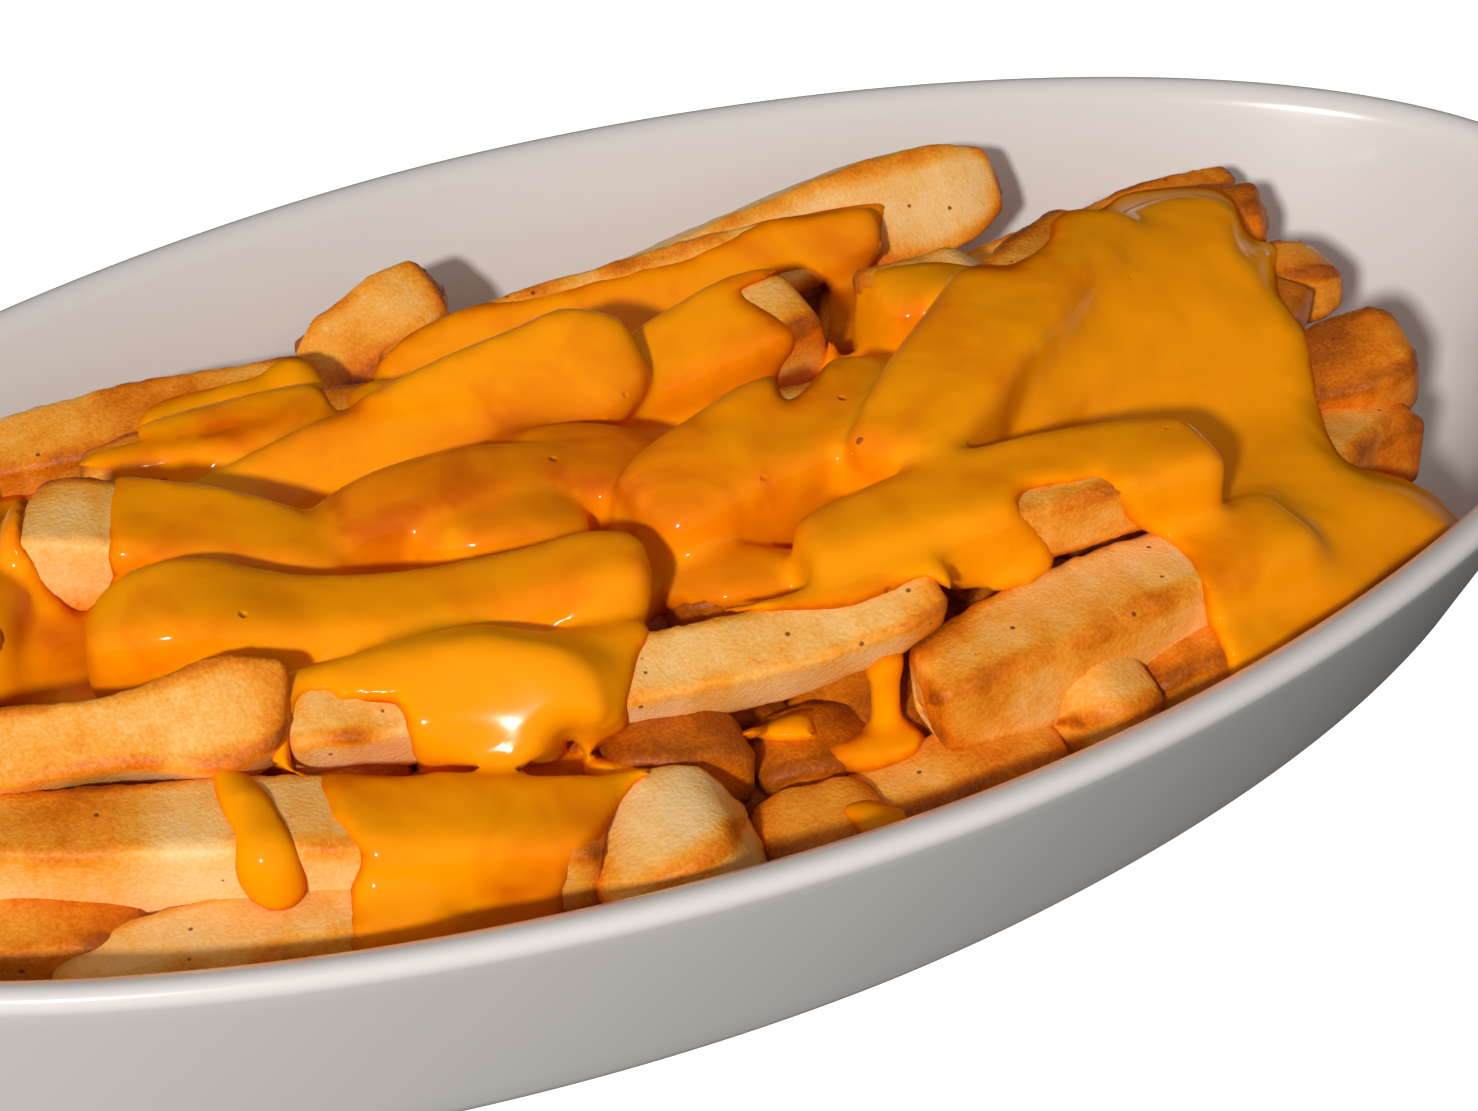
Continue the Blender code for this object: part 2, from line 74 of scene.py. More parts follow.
def fill_sockets(node, sockets):
    """Set a node's sockets to values. Where the value is another node's output, it is linked."""
    for name, value in sockets.items():
        if isinstance(value, bpy.types.NodeSocket):
            node.id_data.links.new(value, node.inputs[name])
        else:
            node.inputs[name].default_value = value


def add_node(tree, kind, sockets, **settings):
    """The outputs of a new shader node with these settings and sockets."""
    made = tree.nodes.new(f"ShaderNode{kind}")
    for name, value in settings.items():
        setattr(made, name, value)
    fill_sockets(made, sockets)
    return made.outputs


def finish_material(name, sockets):
    """A new material, and its Principled shader with these sockets."""
    made = bpy.data.materials.new(name)
    made.use_nodes = True
    shader = made.node_tree.nodes["Principled BSDF"]
    fill_sockets(shader, sockets)
    return made, shader


def add_mesh(name, points, faces, material, **point_values):
    """A smooth object from points in millimetres and rows of four point numbers, with a value at
    each point for the materials to read."""
    mesh = bpy.data.meshes.new(name)
    faces = np.asarray(faces, np.int32)
    mesh.vertices.add(len(points))
    mesh.vertices.foreach_set("co", (np.asarray(points) * MM).astype(np.float32).ravel())
    mesh.loops.add(faces.size)
    mesh.loops.foreach_set("vertex_index", faces.ravel())
    mesh.polygons.add(len(faces))
    mesh.polygons.foreach_set("loop_start", np.arange(0, faces.size, 4, dtype=np.int32))
    mesh.polygons.foreach_set("use_smooth", np.ones(len(faces), bool))
    mesh.update(calc_edges=True)
    mesh.validate()
    for value_name, values in point_values.items():
        mesh.attributes.new(value_name, "FLOAT", "POINT")
        mesh.attributes[value_name].data.foreach_set("value", values.astype(np.float32))
    mesh.materials.append(material)
    made = bpy.data.objects.new(name, mesh)
    bpy.context.scene.collection.objects.link(made)
    return made


camera = bpy.data.objects.new("camera", bpy.data.cameras.new("camera"))
stand_facing(camera, EYE, LOOKED_AT)
camera.data.lens = LENS
camera.data.sensor_width = SENSOR
bpy.context.scene.camera = camera

table_finish = {
    "Base Color": TABLE_WHITE, "Roughness": 0.6, "Specular IOR Level": 0.1,
    "Emission Color": WHITE_LIGHT, "Emission Strength": 0.8,
}
table_white, shader = finish_material("table_white", table_finish)
corners = [(x * TABLE_REACH, y * TABLE_REACH, 0) for x, y in ((-1, -1), (1, -1), (1, 1), (-1, 1))]
table_top = add_mesh("table_top", corners, [(0, 1, 2, 3)], table_white)
table_top.visible_diffuse = False
table_top.visible_glossy = False

key = bpy.data.objects.new("key_light", bpy.data.lights.new("key_light", "AREA"))
stand_facing(key, KEY_PLACE, np.zeros(3))
key.data.shape = "DISK"
key.data.size = KEY_SIZE
key.data.energy = KEY_POWER
key.data.color = KEY_COLOR

world = bpy.data.worlds.new("surroundings")
world.use_nodes = True
sky = world.node_tree
direction = add_node(sky, "TexCoord", {})["Generated"]
facing = add_node(sky, "VectorMath", {0: direction, 1: BRIGHT_SIDE}, operation="DOT_PRODUCT")
strengths = {"Value": facing["Value"], "From Min": -1.0, "To Min": DIMMEST, "To Max": BRIGHTEST}
strength = add_node(sky, "MapRange", strengths, interpolation_type="SMOOTHSTEP")
fill_sockets(sky.nodes["Background"], {"Color": WHITE_LIGHT, "Strength": strength["Result"]})
bpy.context.scene.world = world
bpy.context.scene.view_settings.view_transform = "Standard"


# The dish: one long oval of white stoneware with pointed ends, a leaning wall of even thickness, a
# full round rim, a wide fillet to a flat floor and a low ring foot. Warm white gloss glaze.

DISH_LENGTH = 334.0
DISH_WIDTH = 176.5
DISH_HEIGHT = 53.0
OVAL_POWER = 1.88
WALL_LEAN = (16.5, 23.2)
WALL = 5.5
RIM_LEVEL = DISH_HEIGHT - WALL / 2
WALL_FLARE = 1.5
FLOOR = 6.5
FLOOR_FILLET = 14.0
FOOT_RADIUS = 7.0
FOOT_RING = 6.0
FOOT_RECESS = 1.5
DISH_SIDES = 360
MIDDLE_INSET = 58.0
FOOT_EDGE = ((8.0, 1.5), (1.6, 1.5), (0.4, 0.3), (0.0, 0.0))
FLOOR_ROW = 8.0
CLOSING = 0.01
GLAZE = {
    "Base Color": (0.71, 0.675, 0.65, 1.0), "Roughness": 0.24,
    "Coat Weight": 0.5, "Coat Roughness": 0.1,
}


def full_turn(sides):
    """Evenly spaced angles round a full turn."""
    return np.linspace(0, 2 * np.pi, sides + 1)[:-1]


def superellipse(angle, power):
    """The cosine and the sine of an angle, each raised to 2 over a power with its sign kept."""
    cosine, sine = np.cos(angle), np.sin(angle)
    x = np.sign(cosine) * np.abs(cosine) ** (2 / power)
    return x, np.sign(sine) * np.abs(sine) ** (2 / power)


def semi_axes(height, inset):
    """Half the dish's length and width at a height, an inset in from its outer wall."""
    lean = 1 - height / RIM_LEVEL
    half_length = DISH_LENGTH / 2 - WALL_LEAN[0] * lean - inset
    return half_length, DISH_WIDTH / 2 - WALL_LEAN[1] * lean - inset


def inner_inset(height):
    """From the outer wall to the inner one: the wall, its flare, and the fillet near the floor."""
    drop = np.clip(FLOOR_FILLET - (height - FLOOR), 0, FLOOR_FILLET)
    fillet = FLOOR_FILLET - np.sqrt(FLOOR_FILLET**2 - drop**2)
    return WALL + WALL_FLARE * (1 - height / RIM_LEVEL) + fillet


def arc(inset, height, radius, start, end, steps):
    """Points of a circular arc, as (inset, height), with its angles in degrees."""
    angle = np.radians(np.linspace(start, end, steps))
    return np.column_stack([inset + radius * np.cos(angle), height + radius * np.sin(angle)])


def tube_faces(rings, sides):
    """Rows of four point numbers that join rings of equally many points, and then fill the first
    ring and the last. They face outwards where the points go round against the clock, seen from
    the last ring's end."""
    low = np.arange(rings - 1)[:, None] * sides + np.arange(sides)
    after = np.arange(rings - 1)[:, None] * sides + (np.arange(sides) + 1) % sides
    faces = [np.stack([low, after, after + sides, low + sides], axis=-1).reshape(-1, 4)]
    for first, turned in ((0, 1), ((rings - 1) * sides, -1)):
        ring = first + np.arange(sides)[::-turned]
        quads = [(ring[i], ring[i + 1], ring[-i - 2], ring[-i - 1]) for i in range(sides // 2 - 1)]
        faces.append(np.array(quads))
    return np.concatenate(faces)


# Half the dish's section as (inset, height), from the middle of the recess under it, over the
# foot, up the outer wall, round the rim and down the inner wall to the middle of the floor.
outer_heights = np.linspace(12, RIM_LEVEL - 3, 8)
inner_heights = np.linspace(RIM_LEVEL - 2, 22, 9)
fillet_heights = FLOOR + FLOOR_FILLET * (1 - np.cos(np.radians(np.linspace(90, 0, 14))))
profile = np.concatenate(
    [
        [(MIDDLE_INSET, FOOT_RECESS)],
        [(FOOT_RADIUS + FOOT_RING + inset, height) for inset, height in FOOT_EDGE],
        arc(FOOT_RADIUS, FOOT_RADIUS, FOOT_RADIUS, 270, 180, 9),
        [(0.0, height) for height in outer_heights],
        arc(WALL / 2, RIM_LEVEL, WALL / 2, 180, 0, 15),
        [(inner_inset(height), height) for height in (*inner_heights, *fillet_heights)],
        [(inner_inset(FLOOR) + FLOOR_ROW, FLOOR), (MIDDLE_INSET, FLOOR)],
    ]
)
round_x, round_y = superellipse(full_turn(DISH_SIDES), OVAL_POWER)
rings = []
for inset, height in profile:
    half_length, half_width = semi_axes(height, inset)
    level = np.full(DISH_SIDES, height)
    rings.append(np.column_stack([half_length * round_x, half_width * round_y, level]))
rings[0][:, :2] *= CLOSING
rings[-1][:, :2] *= CLOSING
glaze, shader = finish_material("warm_white_glaze", GLAZE)
dish = add_mesh("dish_body", np.concatenate(rings), tube_faces(len(rings), DISH_SIDES), glaze)
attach(dish, "root")
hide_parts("dish")


# The fries that show: thick-cut sticks of fried potato, most with a square section, some tapered,
# all a little bent, with crisp edges. Pale gold faces, toasted orange-brown edges and ends.

# Each row: name, one end, the other end, width, depth and how brown it is, and where they are
# needed the form that it is cut to, its roll, the rise of its middle and its sideways bow.
FRY_FIELDS = "name start end width depth brown form roll rise bow"
Fry = namedtuple("Fry", FRY_FIELDS, defaults=("stick", 0, 0, 0))
FRY_ROWS = (
    ("back_pale", (-5, 52, 41), (85, 46, 48), 17, 9, 0.2, "slab", 48, 0, 1),
    ("back_coated", (-23, 47, 43), (58, 39, 49), 14, 9, 0.3, "slim_both", 45),
    ("back_wedge", (-32, 54, 39), (-9, 59, 48), 12, 8, 0.25, "stick", 25),
    ("back_left", (-93, 59, 40), (-36, 45, 45), 11, 10, 0.3, "stick", 15, 0, 1),
    ("mid_back_low", (-73, 37, 47), (-23, 27, 49), 11, 10, 0.3, "slim_both"),
    ("mid_back_left", (-63, 21, 47), (3, 17, 55), 16, 10, 0.4, "leaf_end", 38),
    ("mid_back_chunky", (1, 19, 44), (33, 16, 53), 14.5, 13, 0.35, "slim_start", 10, 1),
    ("mid_gap", (42, 20, 40), (62, 47, 36), 9, 9, 0.6),
    ("mid_bulb", (42, 10, 52.5), (62, 9, 51.5), 15.5, 14, 0.3, "dome"),
    ("back_thin", (61, 25, 43), (120, 27, 48), 9, 8, 0.5, "slim_end", 10, -0.5),
    ("back_stub", (89, 25, 45), (117, 14, 49), 9, 8, 0.6),
    ("end_knob", (92, 5, 43), (118, -3, 46), 12, 11, 0.42, "dome"),
    ("end_big", (76, -21, 41), (114, -26, 46), 15, 11, 0.62, "slab", 10),
    ("end_low", (80, -31, 33), (109, -32, 37), 13, 12, 0.5),
    ("top_big", (18, -32, 59), (78, 9, 57), 13.5, 12.5, 0.4, "stick", 0, 1),
    ("under_blanket", (42, -23, 51), (101, 9, 51), 12, 11, 0.4, "stick", 0, 0, 1),
    ("under_blanket_low", (59, -27, 45), (106, -5, 46), 12, 11, 0.4),
    ("top_right", (1, -41, 57), (56, -49, 59), 11.5, 9, 0.35, "stick", 0, 0.5),
    ("right_bare", (6, -61, 46), (65, -58, 47), 12.5, 12, 0.14),
    ("pool_bed", (65, -46, 40), (106, -29, 38), 12, 11, 0.4),
    ("pool_bed_near", (53, -54, 40), (90, -48, 39), 12, 11, 0.4),
    ("rim_cube", (22, -66, 40), (35, -67, 41), 12, 12, 0.12, "stick", 14),
    ("rim_stub", (36, -66, 40), (53, -65, 41), 11, 10, 0.55),
    ("rim_low", (-9, -66, 35), (23, -68, 36), 11, 10, 0.3),
    ("rim_low_back", (5, -57, 31), (34, -57, 31), 12, 11, 0.75),
    ("rim_coated", (-22, -68, 37), (-5, -71, 37), 11, 10, 0.58),
    ("brown_mid", (-35, -49, 44), (-17, -55, 42), 10, 10, 0.8),
    ("brown_mid_low", (-16, -54, 37), (1, -55, 36), 11, 10, 0.75),
    ("thin_coated", (-15, -31, 48), (3, -36, 48), 10, 9, 0.5, "slim_both", 0, 1),
    ("round_end", (-43, -67, 38), (-24, -67, 44), 18, 17, 0.14, "dome"),
    ("front_brown", (-114, -29, 48), (-42, -65, 45), 12, 12, 0.22),
    ("front_low", (-107, -50, 40), (-64, -61, 41), 12, 11, 0.18, "slim_start"),
    ("front_low_left", (-117, -38, 39), (-94, -47, 39), 11, 11, 0.65),
    ("front_pale", (-112, -22, 56), (-70, -35, 57), 13, 8.5, 0.2, "paddle", 36, -1),
    ("front_long", (-70, -34, 53), (11, -55, 53), 10.5, 9.6, 0.1, "curl", 18, -1),
    ("mid_long", (-86, -12, 57), (-21, -33, 55), 13, 12, 0.3, "bulb", 0, -1),
    ("mid_bare_end", (-88, 14, 57), (-52, -6, 52), 15, 12, 0.32, "slim_end"),
    ("mid_swoop", (-56, -1, 51), (-17, -3, 53), 12, 11, 0.45, "slim_both", 0, 1),
    ("mid_leaf", (-40, -9, 53), (-20, -13, 51), 11, 10, 0.4, "slim_both"),
    ("mid_dark", (-25, 4, 48), (-4, -7, 48), 13, 12, 0.7),
    ("mid_knob", (-13, -20, 53), (32, -11, 53), 15, 14, 0.5, "stick", 4),
    ("left_dark", (-105, 6, 51), (-94, -1, 53), 12, 12, 0.8),
    ("left_low", (-99, 2, 45), (-82, 4, 45), 12, 12, 0.5),
    ("left_back", (-140, 28, 42), (-88, 50, 43), 11, 10, 0.4, "stick", 10, 1),
    ("left_back_low", (-149, 10, 37), (-100, 40, 39), 11, 11, 0.4, "slim_start"),
    ("left_ridge", (-144, 16, 44), (-96, 24, 51), 12, 11, 0.3, "slim_both", 0, 1, 1),
    ("left_top", (-138, -8, 49), (-98, 12, 56), 12, 12, 0.35, "slim_both", 0, 1),
    ("left_mid", (-152, -4, 40), (-106, -18, 50), 12, 11, 0.4, "slim_start", 10, 0, -1),
    ("left_cross", (-124, -32, 46), (-120, 20, 47), 11, 10, 0.5, "slim_end", 0, 1, 1),
    ("left_front", (-146, -20, 40), (-112, -42, 42), 11, 11, 0.3, "slim_start"),
    ("left_front_low", (-151, -8, 34), (-122, -34, 35), 11, 11, 0.6, "stick", 10),
    ("left_end", (-156, 2, 33), (-132, 4, 38), 12, 11, 0.5, "slim_start"),
    ("left_end_back", (-149, 22, 35), (-120, 36, 36), 11, 11, 0.5),
)
FRIES = tuple(Fry(*row) for row in FRY_ROWS)

# The forms that the fries are cut to. Each row: share of the length, lift, and the width and depth
# against the middle's.
FRY_FORMS = {
    "stick": ((0, 0, 0.88, 0.88), (0.1, 0, 1, 1), (0.9, 0, 1, 1), (1, 0, 0.88, 0.88)),
    "slim_end": (
        (0, 0, 0.9, 0.9), (0.1, 0, 1, 1), (0.55, 0, 1, 1), (0.85, 0, 0.8, 0.85),
        (1, 0, 0.5, 0.55),
    ),
    "slim_start": (
        (0, 0, 0.5, 0.55), (0.15, 0, 0.8, 0.85), (0.45, 0, 1, 1), (0.9, 0, 1, 1),
        (1, 0, 0.9, 0.9),
    ),
    "slim_both": (
        (0, 0, 0.55, 0.6), (0.2, 0, 0.85, 0.85), (0.5, 0, 1, 1), (0.8, 0, 0.85, 0.85),
        (1, 0, 0.55, 0.6),
    ),
    "slab": (
        (0, 0, 0.45, 0.7), (0.5, 0, 0.88, 0.95), (0.82, 0, 1.05, 1), (0.94, 0, 0.92, 0.95),
        (1, 0, 0.62, 0.75),
    ),
    "paddle": ((0, 0, 0.7, 0.9), (0.6, 0, 0.85, 1), (0.86, 0, 1.12, 1), (1, 0, 0.85, 0.8)),
    "bulb": (
        (0, -1, 0.8, 0.85), (0.12, 0, 1.12, 1.12), (0.42, -1.5, 0.9, 0.9), (0.8, 0, 0.82, 0.86),
        (0.93, 1.5, 0.8, 0.85), (1, 2.5, 0.66, 0.7),
    ),
    "curl": (
        (0, 0, 0.95, 0.95), (0.1, 0, 1, 1), (0.6, -0.5, 1, 1), (0.84, 1, 0.88, 0.88),
        (0.95, 3, 0.75, 0.75), (1, 4.5, 0.6, 0.6),
    ),
    "leaf_end": (
        (0, 0, 0.4, 0.6), (0.3, 0, 0.66, 0.9), (0.75, 0, 1.0, 1), (0.93, 0, 1.0, 0.95),
        (1, 0, 0.7, 0.8),
    ),
    "dome": (
        (0, 0, 0.9, 0.9), (0.5, 0, 1, 1), (0.8, 0, 0.93, 0.93), (0.93, 0, 0.76, 0.76),
        (1, 0, 0.5, 0.5),
    ),
}

# Where the crust is browner than the rest of its fry, and at one place painted shade: middle, reach
# and how much.
TOASTED_AND_SHADED_PLACES = (
    ((-99, -37, 54), 13, 0.5), ((-78, -53, 43), 10, 0.2),
    ((84, -27, 46), 13, 0.5), ((100, -22, 48), 12, 0.45),
    ((97, -5, 46), 14, 0.4), ((104, 4, 50), 9, 0.2),
    ((27, 8, 56), 9, 0.4), ((58, 38, 43), 9, 0.5),
    ((-54, 42, 45), 16, 0.4), ((6, -64, 44), 6, 0.35),
    ((30, -66, 41), 20, 0.1), ((-84, 5, 49), 6, 0.25),
    ((-72, -34, 60), 4, 0.35), ((-63, 52, 44), 9, 0.45),
    ((-25, 50, 40), 9, 0.35), ((-41, -66, 38), 5, 0.3),
    ((12, -55, 57), 6, 0.25), ((-52, -66, 48), 6, 0.3),
    # Painted shade: the second place on the row below darkens a fry where the fries around it shadow
    # it.
    ((110, 26, 50), 14, 0.3), ((-35, 33, 51), 8, 0.6),
    ((-44, -65, 43), 8, 0.5), ((-20, -53, 50), 6, 0.25),
    ((-4, -57, 50), 6, 0.3), ((9, -57, 54), 7, 0.35),
    ((12, -54, 56), 6, 0.2), ((12, -68, 48), 8, 0.4),
    ((26, -68, 48), 8, 0.2), ((40, -67, 49), 8, 0.15),
    ((58, -64, 50), 9, 0.25),
)

FRY_SIDES = 48
FRY_STEP = 0.85
FIRST_IN_FRONT = 18
FIRST_ON_LEFT = 40
SECTION_POWER = 7.0
END_ROUNDING = 1.5
ROUNDING_SHARES = (0.12, 0.33, 0.62, 1.0)
CAP_SHARES = (0.02, 0.3, 0.55, 0.78, 0.92)
CUT_BULGE = 0.5
CUT_SLANT = 0.22
SLANTED_END = 9.0
SHEAR = 0.12
SKEW = 0.09
SIZE_WOBBLE = 0.07
COARSE, MEDIUM, FINE = 7.0, 2.6, 1.1
RELIEF = (0.3, 0.11, 0.08)
CORNER_START = 0.5
CORNER_RUN = 0.3
ROUGH_CUTS = 2.2
ROUGH_CORNERS = 1.2
BROWNED_END = 5.0
BROWNED_PATCHES = 11.0
BROWNED = {"corners": 0.45, "side": 0.12, "ends": 0.3, "patches": 0.14, "grain": 0.05}
WALL_GAP = 0.25
POTATO_TONES = (
    (0.0, (0.92, 0.59, 0.26)), (0.25, (0.9, 0.47, 0.12)), (0.46, (0.87, 0.33, 0.025)),
    (0.7, (0.72, 0.175, 0.002)), (1.0, (0.34, 0.07, 0.002)),
)
PEPPER = (0.12, 0.03, 0.008, 1.0)


def lumps(x, y, z, size, seed):
    """Smooth random values from -1 to 1 that change over a size: one value for each corner of a
    grid of cubes, blended between the corners with a smooth step."""
    table = np.random.default_rng(seed).uniform(-1, 1, (32, 32, 32)).astype(np.float32)
    cells = [np.floor(value / size).astype(np.int32) for value in (x, y, z)]
    parts = [value / size - cell for value, cell in zip((x, y, z), cells)]
    parts = [part * part * (3 - 2 * part) for part in parts]
    total = 0.0
    for corner in np.ndindex(2, 2, 2):
        weight = 1.0
        for part, side in zip(parts, corner):
            weight = weight * (part if side else 1 - part)
        places = tuple((cell + side) % 32 for cell, side in zip(cells, corner))
        total = total + weight * table[places]
    return total


def fry_axes(fry):
    """The start of a fry, its length, and unit vectors along it, across it and up through it, with
    the last two again as they are before its roll, the upward one last."""
    start, end = np.array(fry.start, float), np.array(fry.end, float)
    length = np.linalg.norm(end - start)
    forward = (end - start) / length
    level_up = np.array((0.0, 0.0, 1.0)) - forward * forward[2]
    level_up /= np.linalg.norm(level_up)
    level_side = np.cross(forward, level_up)
    roll = math.radians(fry.roll)
    up = math.cos(roll) * level_up + math.sin(roll) * level_side
    return start, length, forward, np.cross(forward, up), up, level_side, level_up


def form_values(fry, part):
    """The lift of a fry's middle and its width and depth against their full size, at shares of the
    length: cubic curves through the stations of its form, with slopes from the stations around."""
    stations = np.array(FRY_FORMS[fry.form], float)
    places = stations[:, 0]
    index = np.clip(np.searchsorted(places, part, side="right") - 1, 0, len(places) - 2)
    gap = places[index + 1] - places[index]
    t = (part - places[index]) / gap
    curves = []
    for values in stations[:, 1:].T:
        slopes = np.gradient(values, places)
        curve = (2 * t**3 - 3 * t**2 + 1) * values[index] + (3 * t**2 - 2 * t**3) * values[index + 1]
        leave = (t**3 - 2 * t**2 + t) * slopes[index]
        curves.append(curve + gap * (leave + (t**3 - t**2) * slopes[index + 1]))
    return curves


def oval_reach(x, y, half_length, half_width):
    """How far out points lie in an oval of the dish's form: 0 at its middle and 1 at its edge."""
    reach = np.abs(x / half_length) ** OVAL_POWER
    return (reach + np.abs(y / half_width) ** OVAL_POWER) ** (1 / OVAL_POWER)


def inside_dish(points, gap):
    """The points drawn in so far that they lie a gap clear of the inner wall and the floor."""
    points[:, 2] = np.maximum(points[:, 2], FLOOR + gap)
    height = np.clip(points[:, 2], FLOOR, RIM_LEVEL)
    reach = oval_reach(points[:, 0], points[:, 1], *semi_axes(height, inner_inset(height) + gap))
    points[:, :2] /= np.maximum(reach, 1.0)[:, None]
    return points


def fry_stations(fry, length, step):
    """Places along a fry a step apart, with the lift of its middle and its half width and depth
    there. The ends round off by a quarter circle, to a cut face that bulges as a shallow dome."""
    half_width, half_depth = fry.width / 2, fry.depth / 2
    even = np.linspace(0, length, max(int(length / step), 8))[4:-4]
    rounding = np.array(ROUNDING_SHARES) * END_ROUNDING
    along = np.sort(np.concatenate([[0], rounding, even, length - rounding, [length]]))
    inset = np.clip(1 - np.minimum(along, length - along) / END_ROUNDING, 0, 1)
    inset = END_ROUNDING * (1 - np.sqrt(1 - inset**2)) / min(half_width, half_depth)
    lift, wide, deep = form_values(fry, np.clip(along / length, 0, 1))
    wide, deep = wide * (1 - inset), deep * (1 - inset)
    cap = np.array(CAP_SHARES)
    wide = half_width * np.concatenate([wide[0] * cap, wide, wide[-1] * cap[::-1]])
    deep = half_depth * np.concatenate([deep[0] * cap, deep, deep[-1] * cap[::-1]])
    lift = np.concatenate([lift[0] + 0 * cap, lift, lift[-1] + 0 * cap])
    dome = CUT_BULGE * (1 - cap**2)
    return np.concatenate([-dome, along, length + dome[::-1]]), lift, wide, deep


def fry_mesh(fry, seed, sides, step):
    """Points, faces and brownness of one fry, the brownness darkened at one listed place as painted
    shade.

    Round the section goes a superellipse, sheared a little. Along the fry its middle bends in an
    arch, its size tapers and wobbles, and its ends lean as a slanting knife leaves them. The
    surface is then lifted and sunk by lumps of three sizes, most of all at the cut faces.
    """
    start, length, forward, side, up, level_side, level_up = fry_axes(fry)
    random = np.random.default_rng(seed)
    along, lift, wide, deep = fry_stations(fry, length, step)
    part = np.clip(along / length, 0, 1)
    bend = 4 * part * (1 - part)
    middle = start + along[:, None] * forward
    middle = middle + (bend * fry.rise + lift)[:, None] * level_up
    middle = middle + (bend * fry.bow)[:, None] * level_side
    zero = 0 * part
    skew = SKEW * lumps(part * 3 + seed, zero + 0.5, zero, 1.0, 5)
    wide = wide * (1 + SIZE_WOBBLE * lumps(part * 4, zero, zero + seed, 1.0, 6))
    deep = deep * (1 + SIZE_WOBBLE * lumps(part * 4, zero + 9, zero + seed, 1.0, 7))
    shear = random.uniform(-SHEAR, SHEAR)
    angle = full_turn(sides)
    across, over = superellipse(angle, SECTION_POWER)
    u = wide[:, None] * (across + (shear + skew[:, None]) * over)
    v = deep[:, None] * over
    points = middle[:, None, :] + u[..., None] * side + v[..., None] * up
    slants = random.uniform(-CUT_SLANT, CUT_SLANT, (2, 2))
    for slant, away in zip(slants, (along, length - along)):
        lean = np.clip(1 - away / SLANTED_END, 0, 1)[:, None] ** 2 * (slant[0] * u + slant[1] * v)
        points = points + lean[..., None] * forward

    outward = across[None, :, None] * side + over[None, :, None] * up
    outward = outward * np.ones_like(points)
    ends = np.zeros((len(along), 1))
    cap = len(CAP_SHARES)
    for cut_face, facing in ((slice(0, cap), -forward), (slice(-cap, None), forward)):
        outward[cut_face] = facing
        ends[cut_face] = 1.0
    outward /= np.linalg.norm(outward, axis=-1, keepdims=True)
    x, y, z = np.moveaxis(points, -1, 0)
    offset = 23.0 * seed
    coarse = lumps(x + offset, y, z, COARSE, 1)
    medium = lumps(x, y + offset, z, MEDIUM, 2)
    fine = lumps(x, y, z + offset, FINE, 3)
    corner = np.clip((np.abs(across) * np.abs(over) - CORNER_START) / CORNER_RUN, 0, 1)
    near_end = np.clip(1 - np.minimum(along, length - along) / BROWNED_END, 0, 1)[:, None]
    rough = 1 + ROUGH_CUTS * ends + ROUGH_CORNERS * corner * (0.8 + near_end)
    relief = RELIEF[0] * coarse + RELIEF[1] * rough * medium + RELIEF[2] * rough * fine
    points = points + relief[..., None] * outward

    browned_side = np.cos(angle - random.uniform(0, 2 * np.pi))
    toast = fry.brown + BROWNED["corners"] * corner * (0.7 + 0.9 * coarse)
    toast = toast + BROWNED["side"] * browned_side
    toast = toast + BROWNED["ends"] * near_end**2 * (1 + medium)
    toast = toast + BROWNED["patches"] * lumps(x, y + offset, z, BROWNED_PATCHES, 8)
    toast = toast + BROWNED["grain"] * medium + BROWNED["grain"] * fine
    # Browner crust at these places, and painted shade at one of them.
    for place, reach, amount in TOASTED_AND_SHADED_PLACES:
        away = ((points - np.array(place)) ** 2).sum(axis=-1)
        toast = toast + amount * np.exp(-2 * away / reach**2)
    points = inside_dish(points.reshape(-1, 3), WALL_GAP)
    return points, tube_faces(len(along), sides)[:, ::-1], np.clip(toast, 0, 1).ravel()


def add_fries(name, fries, sides, step, material):
    """One object of several fries, with their brownness, painted shade included, as a value at each
    point.
    """
    points, faces, toast, count = [], [], [], 0
    for fry in fries:
        seed = sum(ord(letter) * (place + 1) for place, letter in enumerate(fry.name)) % 997
        new_points, new_faces, new_toast = fry_mesh(fry, seed, sides, step)
        points.append(new_points)
        faces.append(new_faces + count)
        toast.append(new_toast)
        count += len(new_points)
    points, faces, toast = (np.concatenate(values) for values in (points, faces, toast))
    made = add_mesh(name, points, faces, material, toast=toast)
    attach(made, "root")
    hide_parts("fries")


def noise(tree, scale, detail, distortion=0.0):
    """A smooth noise on the object's own coordinates."""
    place = add_node(tree, "TexCoord", {})["Object"]
    sockets = {"Vector": place, "Scale": scale, "Detail": detail, "Distortion": distortion}
    return add_node(tree, "TexNoise", sockets)["Fac"]


def times_plus(tree, value, factor, added):
    """A value times a factor, and something added to it."""
    return add_node(tree, "Math", {0: value, 1: factor, 2: added}, operation="MULTIPLY_ADD")[0]


def near_spots(tree, scale, near, far, at_spot, between):
    """A value on the spots of a Voronoi texture, within a distance, and another between them."""
    place = add_node(tree, "TexCoord", {})["Object"]
    distance = add_node(tree, "TexVoronoi", {"Vector": place, "Scale": scale})["Distance"]
    sockets = {"Value": distance, "From Min": near, "From Max": far}
    return add_node(tree, "MapRange", sockets | {"To Min": at_spot, "To Max": between})["Result"]


def tones(tree, value, stops):
    """A colour for a value, blended between stops of a position and a colour each."""
    ramp = tree.nodes.new("ShaderNodeValToRGB")
    while len(ramp.color_ramp.elements) < len(stops):
        ramp.color_ramp.elements.new(0.5)
    for element, (position, color) in zip(ramp.color_ramp.elements, stops):
        element.position = position
        element.color = (*color, 1.0)
    fill_sockets(ramp, {"Fac": value})
    return ramp.outputs["Color"]


